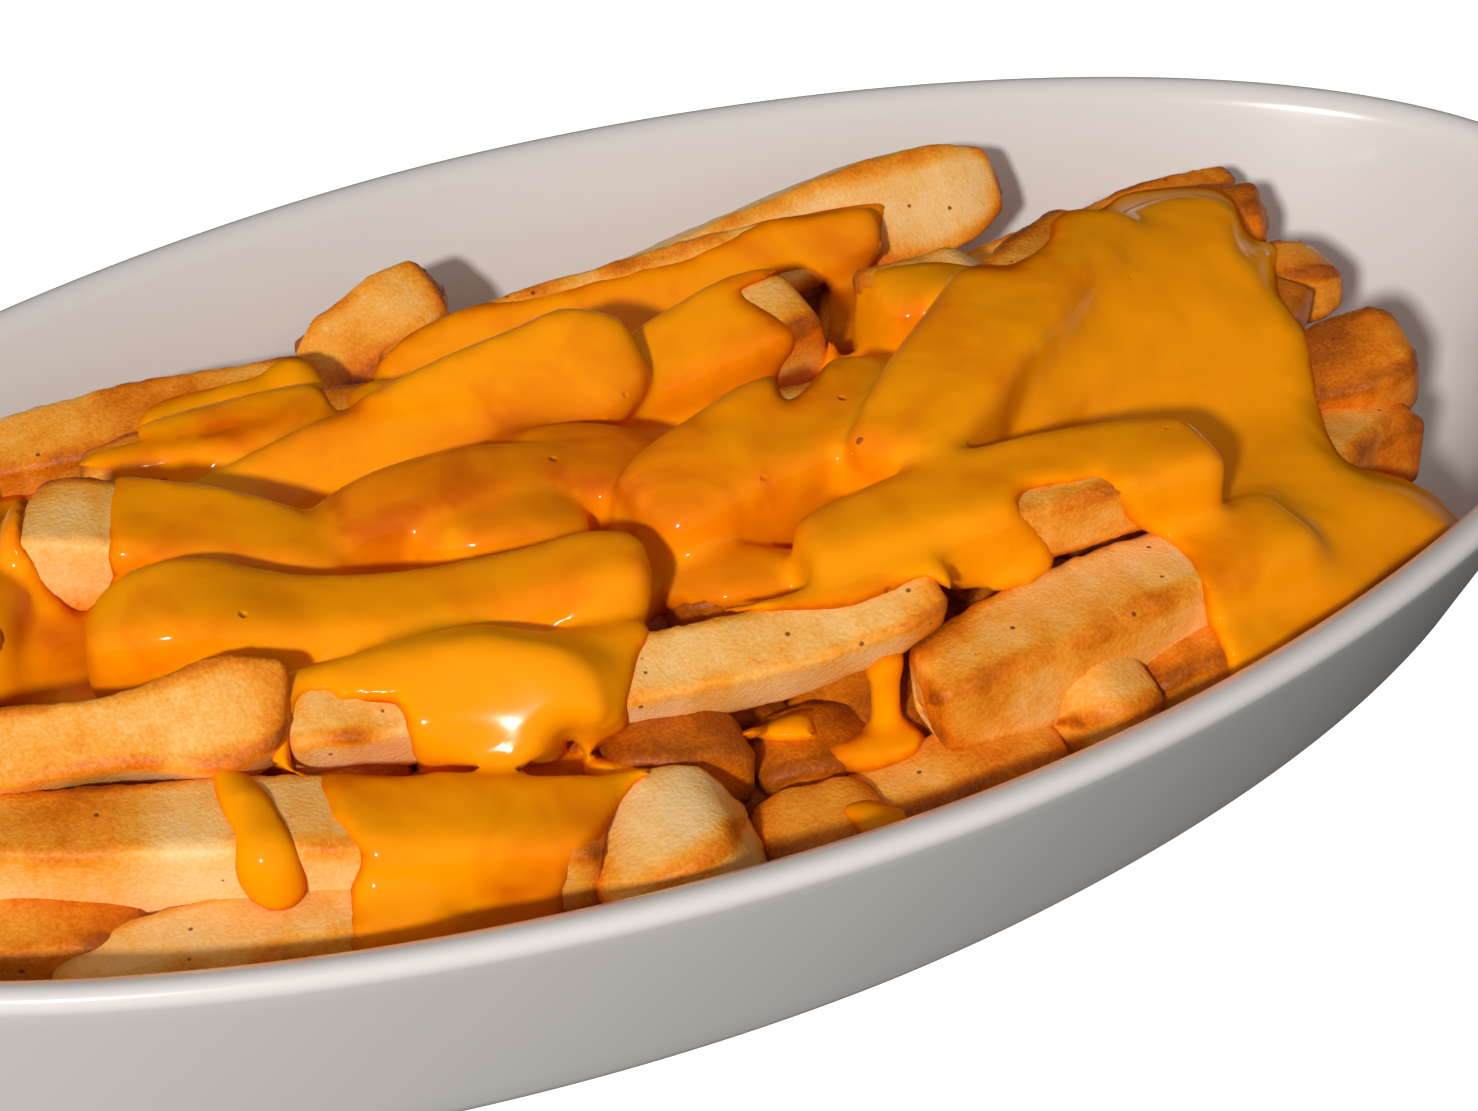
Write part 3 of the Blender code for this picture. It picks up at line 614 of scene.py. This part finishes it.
potato_finish = {
    "Base Color": (0.72, 0.42, 0.13, 1.0), "Roughness": 0.42, "Specular IOR Level": 0.22,
    "Subsurface Weight": 0.05, "Subsurface Radius": (1.0, 0.5, 0.2), "Subsurface Scale": 0.002,
}
potato, shader = finish_material("fried_potato", potato_finish)
tree = potato.node_tree
# The toast value is the crust's brownness, with painted shade at one place and on the bed.
browned_and_shaded = add_node(tree, "Attribute", {}, attribute_name="toast")["Fac"]
grain = noise(tree, 1700.0, 5.0)
spread = times_plus(tree, noise(tree, 260.0, 4.0), 0.36, 0.03)
speckle = times_plus(tree, grain, -0.45, spread)
mottled = add_node(tree, "Math", {0: browned_and_shaded, 1: speckle}, operation="ADD")[0]
specks = near_spots(tree, 190.0, 0.055, 0.075, 0.85, 0.0)
crust_and_shade = {"Factor": specks, "A": tones(tree, mottled, POTATO_TONES), "B": PEPPER}
crust_and_shade_color = add_node(tree, "Mix", crust_and_shade, data_type="RGBA")["Result"]
crust_height = times_plus(tree, noise(tree, 520.0, 2.0), 0.5, grain)
crust_bump = {"Strength": 0.45, "Distance": 0.0004, "Height": crust_height}
crust_normal = add_node(tree, "Bump", crust_bump)["Normal"]
fill_sockets(shader, {"Base Color": crust_and_shade_color, "Normal": crust_normal})

add_fries("fries_back", FRIES[:FIRST_IN_FRONT], FRY_SIDES, FRY_STEP, potato)
add_fries("fries_front", FRIES[FIRST_IN_FRONT:FIRST_ON_LEFT], FRY_SIDES, FRY_STEP, potato)
add_fries("fries_left", FRIES[FIRST_ON_LEFT:], FRY_SIDES, FRY_STEP, potato)


# The fries under them, which show in the gaps: a lower layer of plainer sticks that lie every way on
# a lumpy bed of browned potato, whose dark brown is partly painted shade in the gaps.

BED_MIDDLE = (-18.0, -4.0)
BED_SPREAD = (134.0, 66.0)
BED_SIDES = 180
BED_EDGE_HEIGHT = 16.0
BED_EDGE_SHARE = 0.08
BED_LUMPS = 8.0
BED_RELIEF = 2.0
BED_TOAST_AND_SHADE = 0.75
BED_GRIP = 2.5
BED_BLEND = 5.0
BED_SINK = 10.0
LOWER_FRIES = 70
LOWER_SPREAD = 0.86
LOWER_TURN = 0.55
LOWER_LENGTHS = (32, 62)
LOWER_WIDTHS = (10, 12.5)
LOWER_SINKS = (7.0, 10.0)
LOWER_ROLL = 20
LOWER_BEND = 0.5
LOWER_TOAST = (0.75, 1.0)
LOWER_SIDES = 24
LOWER_STEP = 2.0

bed_knots = []
for fry in FRIES:
    start, end = np.array(fry.start, float), np.array(fry.end, float)
    for share in np.linspace(0.05, 0.95, 7):
        bed_knots.append(start + (end - start) * share - (0.0, 0.0, fry.depth / 2 - BED_GRIP))
bed_knots = np.array(bed_knots)


def bed_height(x, y):
    """The height of the underside of the fries above: a mean weighted by closeness."""
    away = (bed_knots[:, 0] - x[..., None]) ** 2 + (bed_knots[:, 1] - y[..., None]) ** 2
    weight = 1 / (away + BED_BLEND**2) ** 2
    return (weight * bed_knots[:, 2]).sum(axis=-1) / weight.sum(axis=-1)


def bed_place(share, angle):
    """Points round the bed's middle, at a share of its spread."""
    x, y = superellipse(angle, OVAL_POWER)
    return BED_SPREAD[0] * share * x + BED_MIDDLE[0], BED_SPREAD[1] * share * y + BED_MIDDLE[1]


bed_rings = []
for share in np.concatenate([[1.0], np.linspace(1.0, CLOSING, 60)]):
    x, y = bed_place(share, full_turn(BED_SIDES))
    top = bed_height(x, y) - BED_SINK + BED_RELIEF * lumps(x, y, 0 * x, BED_LUMPS, 21)
    slope = np.clip((1 - share) / BED_EDGE_SHARE, 0, 1)
    height = BED_EDGE_HEIGHT + (top - BED_EDGE_HEIGHT) * slope
    bed_rings.append(np.column_stack([x, y, height]))
bed_rings[0][:, 2] = FLOOR
bed_points = inside_dish(np.concatenate(bed_rings), WALL_GAP)
bottom = bed_points[:BED_SIDES, :2] * CLOSING
bottom = np.column_stack([bottom, np.full(BED_SIDES, FLOOR + WALL_GAP)])
bed_points = np.concatenate([bottom, bed_points])
bed_faces = tube_faces(len(bed_rings) + 1, BED_SIDES)
# Painted shade: the bed's dark brown partly stands in for the shade in the gaps between the fries.
bed_toast_and_shade = np.full(len(bed_points), BED_TOAST_AND_SHADE)
bed = add_mesh("fries_core", bed_points, bed_faces, potato, toast=bed_toast_and_shade)
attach(bed, "root")
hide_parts("fries")

random = np.random.default_rng(14)
lower = []
for number in range(LOWER_FRIES):
    around = random.uniform(0, 2 * np.pi)
    out = math.sqrt(random.uniform(0, LOWER_SPREAD))
    centre = np.array(bed_place(out, around))
    heading = random.normal(0.0, LOWER_TURN)
    length = random.uniform(*LOWER_LENGTHS)
    reach = np.array((math.cos(heading), math.sin(heading))) * length / 2
    ends = np.array([centre - reach, centre + reach])
    heights = bed_height(ends[:, 0], ends[:, 1]) - random.uniform(*LOWER_SINKS)
    first, last = np.column_stack([ends, heights])
    width = random.uniform(*LOWER_WIDTHS)
    toast = random.uniform(*LOWER_TOAST)
    roll = random.uniform(-LOWER_ROLL, LOWER_ROLL)
    row = (f"lower_{number}", first, last, width, width - 1, toast, "stick", roll)
    lower.append(Fry(*row, LOWER_BEND, LOWER_BEND))
add_fries("fries_lower", lower, LOWER_SIDES, LOWER_STEP, potato)


# The cheese sauce: a thick glossy coat that follows the fries, sinks between them, hangs in rounded
# drips and lies in a pool at the right end. Where it ends is drawn as it shows in the photo.

SAUCE_OUTLINES = {
    "back_strip": (
        (345, 402), (362, 384), (378, 362), (400, 343), (430, 322), (470, 308), (520, 297),
        (580, 285), (640, 270), (690, 260), (730, 237), (775, 219), (830, 207), (882, 198),
        (889, 206), (885, 235), (876, 262), (868, 290), (858, 330), (852, 385), (780, 402),
        (700, 425), (600, 425), (480, 410), (400, 412),
    ),
    "back_dab": (
        (330, 405), (320, 385), (308, 366), (290, 360), (272, 367), (262, 383), (230, 385),
        (185, 393), (145, 408), (134, 425), (142, 438), (170, 438), (205, 432), (240, 424),
        (275, 416), (305, 422),
    ),
    "ridges": (
        (72, 470), (98, 450), (160, 440), (215, 434), (255, 424), (285, 410), (335, 413),
        (400, 405), (500, 392), (600, 395), (700, 415), (800, 385), (905, 365), (930, 450),
        (900, 560), (870, 612), (800, 616), (740, 618), (660, 622), (560, 640), (400, 700),
        (345, 700), (333, 730), (332, 772), (285, 772), (180, 735), (60, 712), (35, 690),
        (38, 640), (42, 600), (85, 612), (100, 592), (113, 576), (106, 562), (109, 540),
        (107, 500), (112, 480),
    ),
    "drape": (
        (500, 600), (655, 616), (650, 635), (640, 650), (632, 672), (628, 700), (628, 727),
        (608, 736), (592, 748), (582, 764), (560, 768), (500, 779), (440, 779), (418, 770),
        (408, 740), (403, 715), (393, 702), (365, 697), (340, 697), (330, 660),
    ),
    "blanket": (
        (850, 335), (860, 300), (872, 277), (893, 264), (940, 262), (975, 265), (1008, 268),
        (1022, 262), (1040, 250), (1052, 238), (1052, 225), (1062, 215), (1085, 208), (1100, 210),
        (1112, 200), (1125, 192), (1160, 187), (1200, 186), (1225, 192), (1237, 205), (1242, 225),
        (1252, 238), (1277, 243), (1274, 262), (1277, 290), (1290, 310), (1303, 325), (1308, 345),
        (1313, 375), (1320, 410), (1330, 438), (1345, 460), (1370, 474), (1405, 482), (1435, 490),
        (1452, 500), (1480, 530), (1420, 575), (1300, 655), (1235, 690), (1224, 655), (1212, 630),
        (1206, 605), (1196, 580), (1175, 553), (1150, 535), (1128, 520), (1118, 508), (1112, 495),
        (1102, 478), (1060, 482), (1028, 487), (1016, 500), (1024, 515), (1042, 533), (1054, 548),
        (1055, 565), (1040, 582), (1015, 592), (960, 605), (900, 618), (800, 600), (770, 500),
        (840, 400),
    ),
    "front_patch": (
        (323, 778), (345, 772), (400, 776), (470, 773), (540, 770), (580, 758), (620, 763),
        (662, 768), (640, 780), (625, 795), (615, 815), (600, 835), (580, 865), (565, 890),
        (556, 930), (450, 950), (354, 960), (350, 925), (350, 890), (357, 868), (360, 853),
        (345, 838), (330, 815), (322, 795),
    ),
    "drip": (
        (210, 765), (228, 764), (252, 776), (272, 797), (290, 832), (299, 862), (301, 882),
        (294, 899), (272, 904), (252, 898), (242, 880), (239, 850), (231, 822), (216, 792),
    ),
    "rim_dab": (
        (838, 806), (850, 801), (870, 800), (885, 808), (898, 820), (905, 832), (880, 842),
        (858, 840), (848, 825),
    ),
    "puddle": (
        (866, 730), (884, 718), (905, 716), (914, 724), (926, 737), (915, 755), (880, 768),
        (850, 775), (838, 770), (828, 755), (815, 745), (840, 740),
    ),
    "shade_dab": (
        (735, 735), (760, 722), (790, 710), (818, 706), (815, 725), (822, 742), (790, 742),
        (770, 741),
    ),
    "left_pour": (
        (-150, 520), (20, 494), (60, 486), (60, 700), (-60, 700), (-200, 720), (-420, 760),
        (-520, 700), (-480, 620), (-300, 560),
    ),
}
BARE_OUTLINES = {
    "front_gap": ((303, 700), (322, 694), (333, 704), (334, 768), (300, 772), (290, 745)),
    "hole": ((560, 742), (565, 734), (574, 732), (580, 740), (578, 751), (568, 754)),
    "chunky_tip": (
        (735, 292), (760, 281), (785, 272), (808, 271), (822, 280), (829, 302), (829, 335),
        (821, 365), (803, 390), (784, 400), (780, 372), (792, 350), (793, 335), (775, 316),
    ),
    "bare_end": (
        (30, 486), (60, 470), (112, 474), (107, 500), (109, 540), (106, 562), (113, 576),
        (100, 592), (86, 614), (60, 604), (48, 597), (41, 580), (38, 562), (24, 545), (26, 515),
    ),
    "long_end": (
        (655, 618), (700, 612), (840, 608), (900, 588), (925, 576), (955, 600), (950, 645),
        (870, 690), (760, 715), (640, 735), (628, 727), (632, 672), (650, 635),
    ),
}
# Fries that the sauce leaves bare, those that one blanket of it spans, and those that it curtains.
BARE_FRIES = ("front_pale", "back_wedge", "left_back")
BLANKET_FRIES = (
    "top_big", "under_blanket", "under_blanket_low", "pool_bed", "pool_bed_near", "back_stub",
    "end_knob",
)
CURTAIN_FRIES = ("front_brown", "front_low", "mid_long", "front_long")

# Drips, beads and strands. Each row: one end, the other end, and the radius at each.
SAUCE_DROPS = (
    ((3, -55, 50), (3, -56, 44), 2.9, 1.5),
    ((3, -56, 44), (2, -57.5, 37), 1.5, 2.6),
    ((-3, -61, 37.5), (5, -59, 36.5), 2.6, 2.6),
    ((-80, -38, 53), (-80, -46, 53.5), 1.4, 2.0),
    ((-80, -46, 53.5), (-80.3, -53, 51.5), 2.0, 3.0),
    ((-80.3, -53, 51.5), (-79.5, -54.5, 48), 3.0, 3.2),
    ((-89, 14, 58), (-89.5, 12, 55), 1.6, 1.9),
    ((-90, 8, 55), (-88, 4, 53), 1.7, 2.0),
    ((-10, -73, 41), (-6, -73.5, 41), 1.8, 1.8),
    ((-58.5, 43.8, 46.8), (-47.3, 43.3, 47.9), 1.7, 2.7),
    ((-47.3, 43.3, 47.9), (-37.5, 45, 48.2), 2.7, 2.7),
    ((-37.5, 45, 48.2), (-37, 38, 48.5), 2.7, 2.7),
)

# Where sauce fills the hollows or lies thick. Each row: middle, half its length, width and height,
# its turn and its lean towards the near side in degrees, and how far it blends with the rest.
SAUCE_POOLS = (
    ((84, -48, 35), (34, 15, 9), 20, 0, 9),
    ((98, -30, 34), (18, 15, 9), 0, 0, 9),
    ((88, 6, 50), (14, 10, 5.5), 55, 0, 8),
    ((66, -57, 34), (14, 12, 9), 10, 0, 7),
    ((-45.1, -45.0, 54.5), (11, 6.5, 3.4), -36, 56, 4),
)

# Fries whose brown crust shows through the sauce, and by how much.
THINLY_COATED = {
    "mid_dark": 0.4, "thin_coated": 0.3, "mid_gap": 0.4, "mid_knob": 0.12, "mid_swoop": 0.2,
    "back_stub": 0.2, "left_low": 0.3,
}

PHOTO_WIDTH = 1478
PHOTO_HEIGHT = 1111
FOCAL_PIXELS = PHOTO_WIDTH * LENS / SENSOR
PIXELS_PER_MM = 7.1
MAP_LOW = (-700, 0)
MAP_HIGH = (1600, 1100)
MAP_STEP = 4
FAR_OUT = 1e9
AHEAD = (LOOKED_AT - EYE) / np.linalg.norm(LOOKED_AT - EYE)
RIGHT = np.cross(AHEAD, (0.0, 0.0, 1.0))
RIGHT /= np.linalg.norm(RIGHT)
UP = np.cross(RIGHT, AHEAD)


def photo_place(x, y, z):
    """Where points show in the photo, in pixels from its top left corner: how far right and up
    they lie against how far ahead of the camera, times its focal length in pixels."""
    x, y, z = x - EYE[0], y - EYE[1], z - EYE[2]
    right, up, ahead = (x * axis[0] + y * axis[1] + z * axis[2] for axis in (RIGHT, UP, AHEAD))
    column = PHOTO_WIDTH / 2 + FOCAL_PIXELS * right / ahead
    return column, PHOTO_HEIGHT / 2 - FOCAL_PIXELS * up / ahead


def smooth_outline(knots, steps=5):
    """A closed Catmull-Rom curve through the knots."""
    knots = np.array(knots, float)
    before, after, later = (np.roll(knots, shift, axis=0) for shift in (1, -1, -2))
    curve = []
    for t in np.arange(steps) / steps:
        cubic = (3 * knots - before - 3 * after + later) * t**3
        square = (2 * before - 5 * knots + 4 * after - later) * t**2
        curve.append((2 * knots + (after - before) * t + square + cubic) / 2)
    return np.stack(curve, axis=1).reshape(-1, 2)


def distance_inside(outline, x, y):
    """How far points lie inside a closed outline, in its own unit, and less than 0 outside it."""
    nearest = np.full(x.shape, FAR_OUT)
    crossings = np.zeros(x.shape, int)
    for (ax, ay), (bx, by) in zip(outline, np.roll(outline, -1, axis=0)):
        along_x, along_y = bx - ax, by - ay
        share = ((x - ax) * along_x + (y - ay) * along_y) / (along_x**2 + along_y**2 + 1e-9)
        share = np.clip(share, 0, 1)
        away = (x - ax - share * along_x) ** 2 + (y - ay - share * along_y) ** 2
        nearest = np.minimum(nearest, away)
        if along_y != 0:
            spans = (ay > y) != (by > y)
            crossings += spans & (x < ax + (y - ay) * along_x / along_y)
    return np.sqrt(nearest) * np.where(crossings % 2, 1, -1)


map_axes = [np.arange(low, high, MAP_STEP) for low, high in zip(MAP_LOW, MAP_HIGH)]
map_x, map_y = np.meshgrid(*map_axes, indexing="ij")
cover_map = np.full(map_x.shape, -FAR_OUT)
for outline in SAUCE_OUTLINES.values():
    cover_map = np.maximum(cover_map, distance_inside(smooth_outline(outline), map_x, map_y))
for outline in BARE_OUTLINES.values():
    cover_map = np.minimum(cover_map, -distance_inside(smooth_outline(outline), map_x, map_y))
cover_map /= PIXELS_PER_MM


def blended(values, places):
    """A grid's values at places counted in its steps, blended between the nearest corners."""
    places = np.clip(places, 0, np.array(values.shape) - 1.001)
    corner = places.astype(int)
    part = places - corner
    total = 0.0
    for side in np.ndindex((2,) * values.ndim):
        weight = np.prod(np.where(side, part, 1 - part), axis=-1)
        total = total + weight * values[tuple(np.moveaxis(corner + side, -1, 0))]
    return total


def cover_at(x, y, z):
    """How far inside the outlines points lie as the photo shows them, in millimetres."""
    places = np.stack(photo_place(x, y, z), axis=-1)
    return blended(cover_map, (places - np.array(MAP_LOW)) / MAP_STEP)


SAUCE_STEP = 1.15
SAUCE_LOW = (-158.0, -88.0, 24.0)
SAUCE_HIGH = (122.0, 66.0, 72.0)
SAUCE_REACH = 12.0
FRY_REACH = 9
SECTION_ROUNDING = 0.3
END_REACH = 0.6
SAUCE_BLEND = 1.8
CURTAIN_BLEND = 4.0
BLANKET_BLEND = 9.0
BLANKET_START = 36
BLANKET_RUN = 16
DROP_BLEND = 2.5


def fry_distance(fry, x, y, z):
    """The distance from points to a fry's surface: that to a box with rounded edges, in the fry's
    own directions, straightened by its bend."""
    start, length, forward, side, up, level_side, level_up = fry_axes(fry)
    x, y, z = x - start[0], y - start[1], z - start[2]
    along, across, over = (x * axis[0] + y * axis[1] + z * axis[2] for axis in (forward, side, up))
    part = np.clip(along / length, 0, 1)
    bend = 4 * part * (1 - part)
    lift, wide, deep = form_values(fry, part)
    rise, bow = bend * fry.rise + lift, bend * fry.bow
    across = np.abs(across - rise * (level_up @ side) - bow * (level_side @ side))
    over = np.abs(over - rise * (level_up @ up) - bow * (level_side @ up))
    rounding = SECTION_ROUNDING * min(fry.width, fry.depth) / 2
    out_across = across - fry.width / 2 * wide + rounding
    out_over = over - fry.depth / 2 * deep + rounding
    out_along = np.abs(along - length / 2) - length / 2 - END_REACH + rounding
    outside = np.maximum(out_across, 0) ** 2 + np.maximum(out_over, 0) ** 2
    outside = np.sqrt(outside + np.maximum(out_along, 0) ** 2)
    inside = np.minimum(np.maximum(np.maximum(out_across, out_over), out_along), 0)
    return outside + inside - rounding


def smooth_min(a, b, blend):
    """The smaller of two distances, with the corner between them filled to a rounding."""
    near = np.maximum(blend - np.abs(a - b), 0) / blend
    return np.minimum(a, b) - near * near * blend / 4


# The fries as one lump, and the same lump with its hollows filled the way thick sauce fills them.
axes = [np.arange(low, high, SAUCE_STEP) for low, high in zip(SAUCE_LOW, SAUCE_HIGH)]
nearest_fry = np.full([len(axis) for axis in axes], SAUCE_REACH)
filled = nearest_fry.copy()
coated_fries = [fry for fry in (*FRIES, *lower) if fry.name not in BARE_FRIES]
for fry in coated_fries:
    reach = max(fry.width, fry.depth) / 2 + FRY_REACH
    low = np.minimum(fry.start, fry.end) - reach
    high = np.maximum(fry.start, fry.end) + reach
    window = tuple(
        slice(max(int((a - axis[0]) / SAUCE_STEP), 0), max(int((b - axis[0]) / SAUCE_STEP) + 1, 0))
        for a, b, axis in zip(low, high, axes)
    )
    x, y, z = np.meshgrid(*(axis[part] for axis, part in zip(axes, window)), indexing="ij")
    if not x.size:
        continue
    blend = CURTAIN_BLEND if fry.name in CURTAIN_FRIES else SAUCE_BLEND
    if fry.name in BLANKET_FRIES:
        under_blanket = np.clip((x - BLANKET_START) / BLANKET_RUN, 0, 1)
        blend = SAUCE_BLEND + (BLANKET_BLEND - SAUCE_BLEND) * under_blanket
    away = fry_distance(fry, x, y, z)
    filled[window] = smooth_min(filled[window], away, blend)
    nearest_fry[window] = np.minimum(nearest_fry[window], away)

x, y, z = np.meshgrid(*axes, indexing="ij")
for middle, half_sizes, turn, lean, blend in SAUCE_POOLS:
    turn, lean = math.radians(turn), math.radians(lean)
    along = (x - middle[0]) * math.cos(turn) + (y - middle[1]) * math.sin(turn)
    level = (y - middle[1]) * math.cos(turn) - (x - middle[0]) * math.sin(turn)
    across = level * math.cos(lean) + (z - middle[2]) * math.sin(lean)
    over = (z - middle[2]) * math.cos(lean) - level * math.sin(lean)
    reach = (along / half_sizes[0]) ** 2 + (across / half_sizes[1]) ** 2
    reach = np.sqrt(reach**2 + (over / half_sizes[2]) ** 4) ** 0.5
    filled = smooth_min(filled, (reach - 1) * min(half_sizes), blend)
for axis in range(3):
    filled = 0.5 * filled + 0.25 * (np.roll(filled, 1, axis) + np.roll(filled, -1, axis))

# The coat lies on the fries, thick where it fills a hollow. It ends inside the outlines in a
# rounded lip, and outside them it sinks into the fries.
SAUCE_COAT = 1.15
COAT_WAVES = 0.3
COAT_WAVE = 9.0
THINNEST = 0.7
EDGE_WAVES = 0.5
EDGE_WAVE = 7.0
EDGE_SPAN = (1.6, 5.0)
EDGE_STEEPNESS = 0.9
SUNK = 2.6
SUNK_RUN = 0.8
CUT_OFF = 5.0
BED_COVER = 1.0
DISH_GAP = 0.1
RELAXING = 2

cover = cover_at(x, y, z) + EDGE_WAVES * lumps(x, y, z, EDGE_WAVE, 31)
coat = SAUCE_COAT * (1 + COAT_WAVES * lumps(x, y, z, COAT_WAVE, 32))
thickness = np.maximum(nearest_fry - filled + coat, THINNEST)
edge = np.clip(1 - cover / np.clip(thickness * EDGE_STEEPNESS, *EDGE_SPAN), 0, 1)
sauce = nearest_fry - thickness * np.sqrt(1 - edge**2)
sauce = np.where(cover > 0, sauce, nearest_fry + SUNK * np.clip(-cover / SUNK_RUN, 0, 1))
sauce = np.maximum(sauce, -cover - CUT_OFF)
for start, end, first_radius, last_radius in SAUCE_DROPS:
    along = np.array(end, float) - start
    share = (x - start[0]) * along[0] + (y - start[1]) * along[1] + (z - start[2]) * along[2]
    share = np.clip(share / (along @ along), 0, 1)
    away = (x - start[0] - share * along[0]) ** 2 + (y - start[1] - share * along[1]) ** 2
    away = np.sqrt(away + (z - start[2] - share * along[2]) ** 2)
    radius = first_radius + (last_radius - first_radius) * share
    sauce = smooth_min(sauce, away - radius, DROP_BLEND)

# It ends under the top of the bed and at the dish's inner wall, and is closed at the grid's sides.
bed_top = bed_height(x[..., 0], y[..., 0]) - BED_SINK
sauce = np.maximum(sauce, (bed_top - BED_COVER)[..., None] - z)
height = np.clip(z, FLOOR, RIM_LEVEL)
half_length, half_width = semi_axes(height, inner_inset(height) + DISH_GAP)
sauce = np.maximum(sauce, (oval_reach(x, y, half_length, half_width) - 1) * half_width)
for axis in range(3):
    for end in (0, -1):
        side = np.moveaxis(sauce, axis, 0)[end]
        np.maximum(side, 0.5, out=side)


def surface_net(values, low, step):
    """The surface where values pass from below 0 to above, as they are at the grid's sides: a point
    in each cube of the grid that it crosses, at the mean of the places where it cuts the cube's
    edges, and a quad for each cut."""
    cells = np.array(values.shape) - 1
    total = np.zeros((*cells, 3), np.float32)
    count = np.zeros(tuple(cells), np.int16)
    quads = []
    for axis in range(3):
        first = [slice(None)] * 3
        second = [slice(None)] * 3
        first[axis], second[axis] = slice(0, -1), slice(1, None)
        a, b = values[tuple(first)], values[tuple(second)]
        crossed = np.argwhere((a < 0) != (b < 0))
        value_a, value_b = a[tuple(crossed.T)], b[tuple(crossed.T)]
        cut = crossed.astype(np.float32)
        cut[:, axis] += value_a / (value_a - value_b)
        others = [other for other in range(3) if other != axis]
        numbers = []
        for shift in ((-1, -1), (0, -1), (0, 0), (-1, 0)):
            cell = crossed.copy()
            cell[:, others] += shift
            np.add.at(total, tuple(cell.T), cut)
            np.add.at(count, tuple(cell.T), 1)
            numbers.append(np.ravel_multi_index(tuple(cell.T), tuple(cells)))
        quad = np.stack(numbers, axis=1)
        flip = (value_a < 0) == (axis == 1)
        quad[flip] = quad[flip][:, ::-1]
        quads.append(quad)
    used = count > 0
    numbering = np.full(used.size, -1)
    numbering[used.ravel()] = np.arange(used.sum())
    points = total[used] / count[used][:, None] * step + np.array(low)
    return points, numbering[np.concatenate(quads)]


def relaxed(points, quads, passes):
    """Points moved, pass by pass, half way to the mean of the points next to them."""
    sides = np.concatenate([quads[:, [k, (k + 1) % 4]] for k in range(4)])
    for _ in range(passes):
        total, count = np.zeros_like(points), np.zeros(len(points))
        for here, there in ((0, 1), (1, 0)):
            np.add.at(total, sides[:, here], points[sides[:, there]])
            np.add.at(count, sides[:, here], 1)
        points = (points + total / count[:, None]) / 2
    return points


sauce_points, sauce_faces = surface_net(sauce, SAUCE_LOW, SAUCE_STEP)
sauce_points = relaxed(sauce_points, sauce_faces, RELAXING)

# Thin sauce is browner, most of all on the dark fries, and it loses its gloss towards its edge.
FULL_DEPTH = 3.0
SHOWING_START = 0.8
SHOWING_REACH = 2.5
GLOSS = 0.6
GLOSS_RUN = 2.5
LEAST_GLOSS = 0.1
CHEESE_TONES = ((0.0, (0.64, 0.12, 0.0)), (0.22, (0.86, 0.215, 0.0)), (0.5, (0.98, 0.315, 0.0)))

depth = blended(nearest_fry, (sauce_points - np.array(SAUCE_LOW)) / SAUCE_STEP)
depth = np.clip(depth / FULL_DEPTH, 0, 1)
for fry in FRIES:
    if fry.name in THINLY_COATED:
        away = np.maximum(fry_distance(fry, *sauce_points.T) - SHOWING_START, 0)
        depth = depth - THINLY_COATED[fry.name] * np.exp(-((away / SHOWING_REACH) ** 2))
gloss = GLOSS * np.clip(cover_at(*sauce_points.T) / GLOSS_RUN, LEAST_GLOSS, 1) ** 2

cheese_finish = {
    "Base Color": (0.98, 0.32, 0.0, 1.0), "Roughness": 0.3, "Specular IOR Level": 0.0,
    "Subsurface Weight": 0.15, "Subsurface Radius": (1.0, 0.3, 0.02), "Subsurface Scale": 0.002,
    "Coat Roughness": 0.12, "Coat IOR": 1.33,
}
melted, shader = finish_material("melted_cheese", cheese_finish)
tree = melted.node_tree
deep_value = add_node(tree, "Attribute", {}, attribute_name="depth")["Fac"]
gloss_value = add_node(tree, "Attribute", {}, attribute_name="gloss")["Fac"]
swirls = times_plus(tree, noise(tree, 75.0, 3.0, 0.6), 1.1, -0.5)
swirled = add_node(tree, "Math", {0: deep_value, 1: swirls}, operation="ADD")[0]
pits = near_spots(tree, 75.0, 0.02, 0.055, 0.0, 1.0)
ripples = times_plus(tree, noise(tree, 120.0, 1.0), 1.2, pits)
cheese_bump = {"Strength": 0.7, "Distance": 0.0007, "Height": ripples}
cheese_normal = add_node(tree, "Bump", cheese_bump)["Normal"]
cheese_color = tones(tree, swirled, CHEESE_TONES)
shown = {"Base Color": cheese_color, "Normal": cheese_normal, "Coat Weight": gloss_value}
fill_sockets(shader, shown)

sauce_coat = add_mesh("sauce_coat", sauce_points, sauce_faces, melted, depth=depth, gloss=gloss)
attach(sauce_coat, "root")
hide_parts("cheese_sauce")
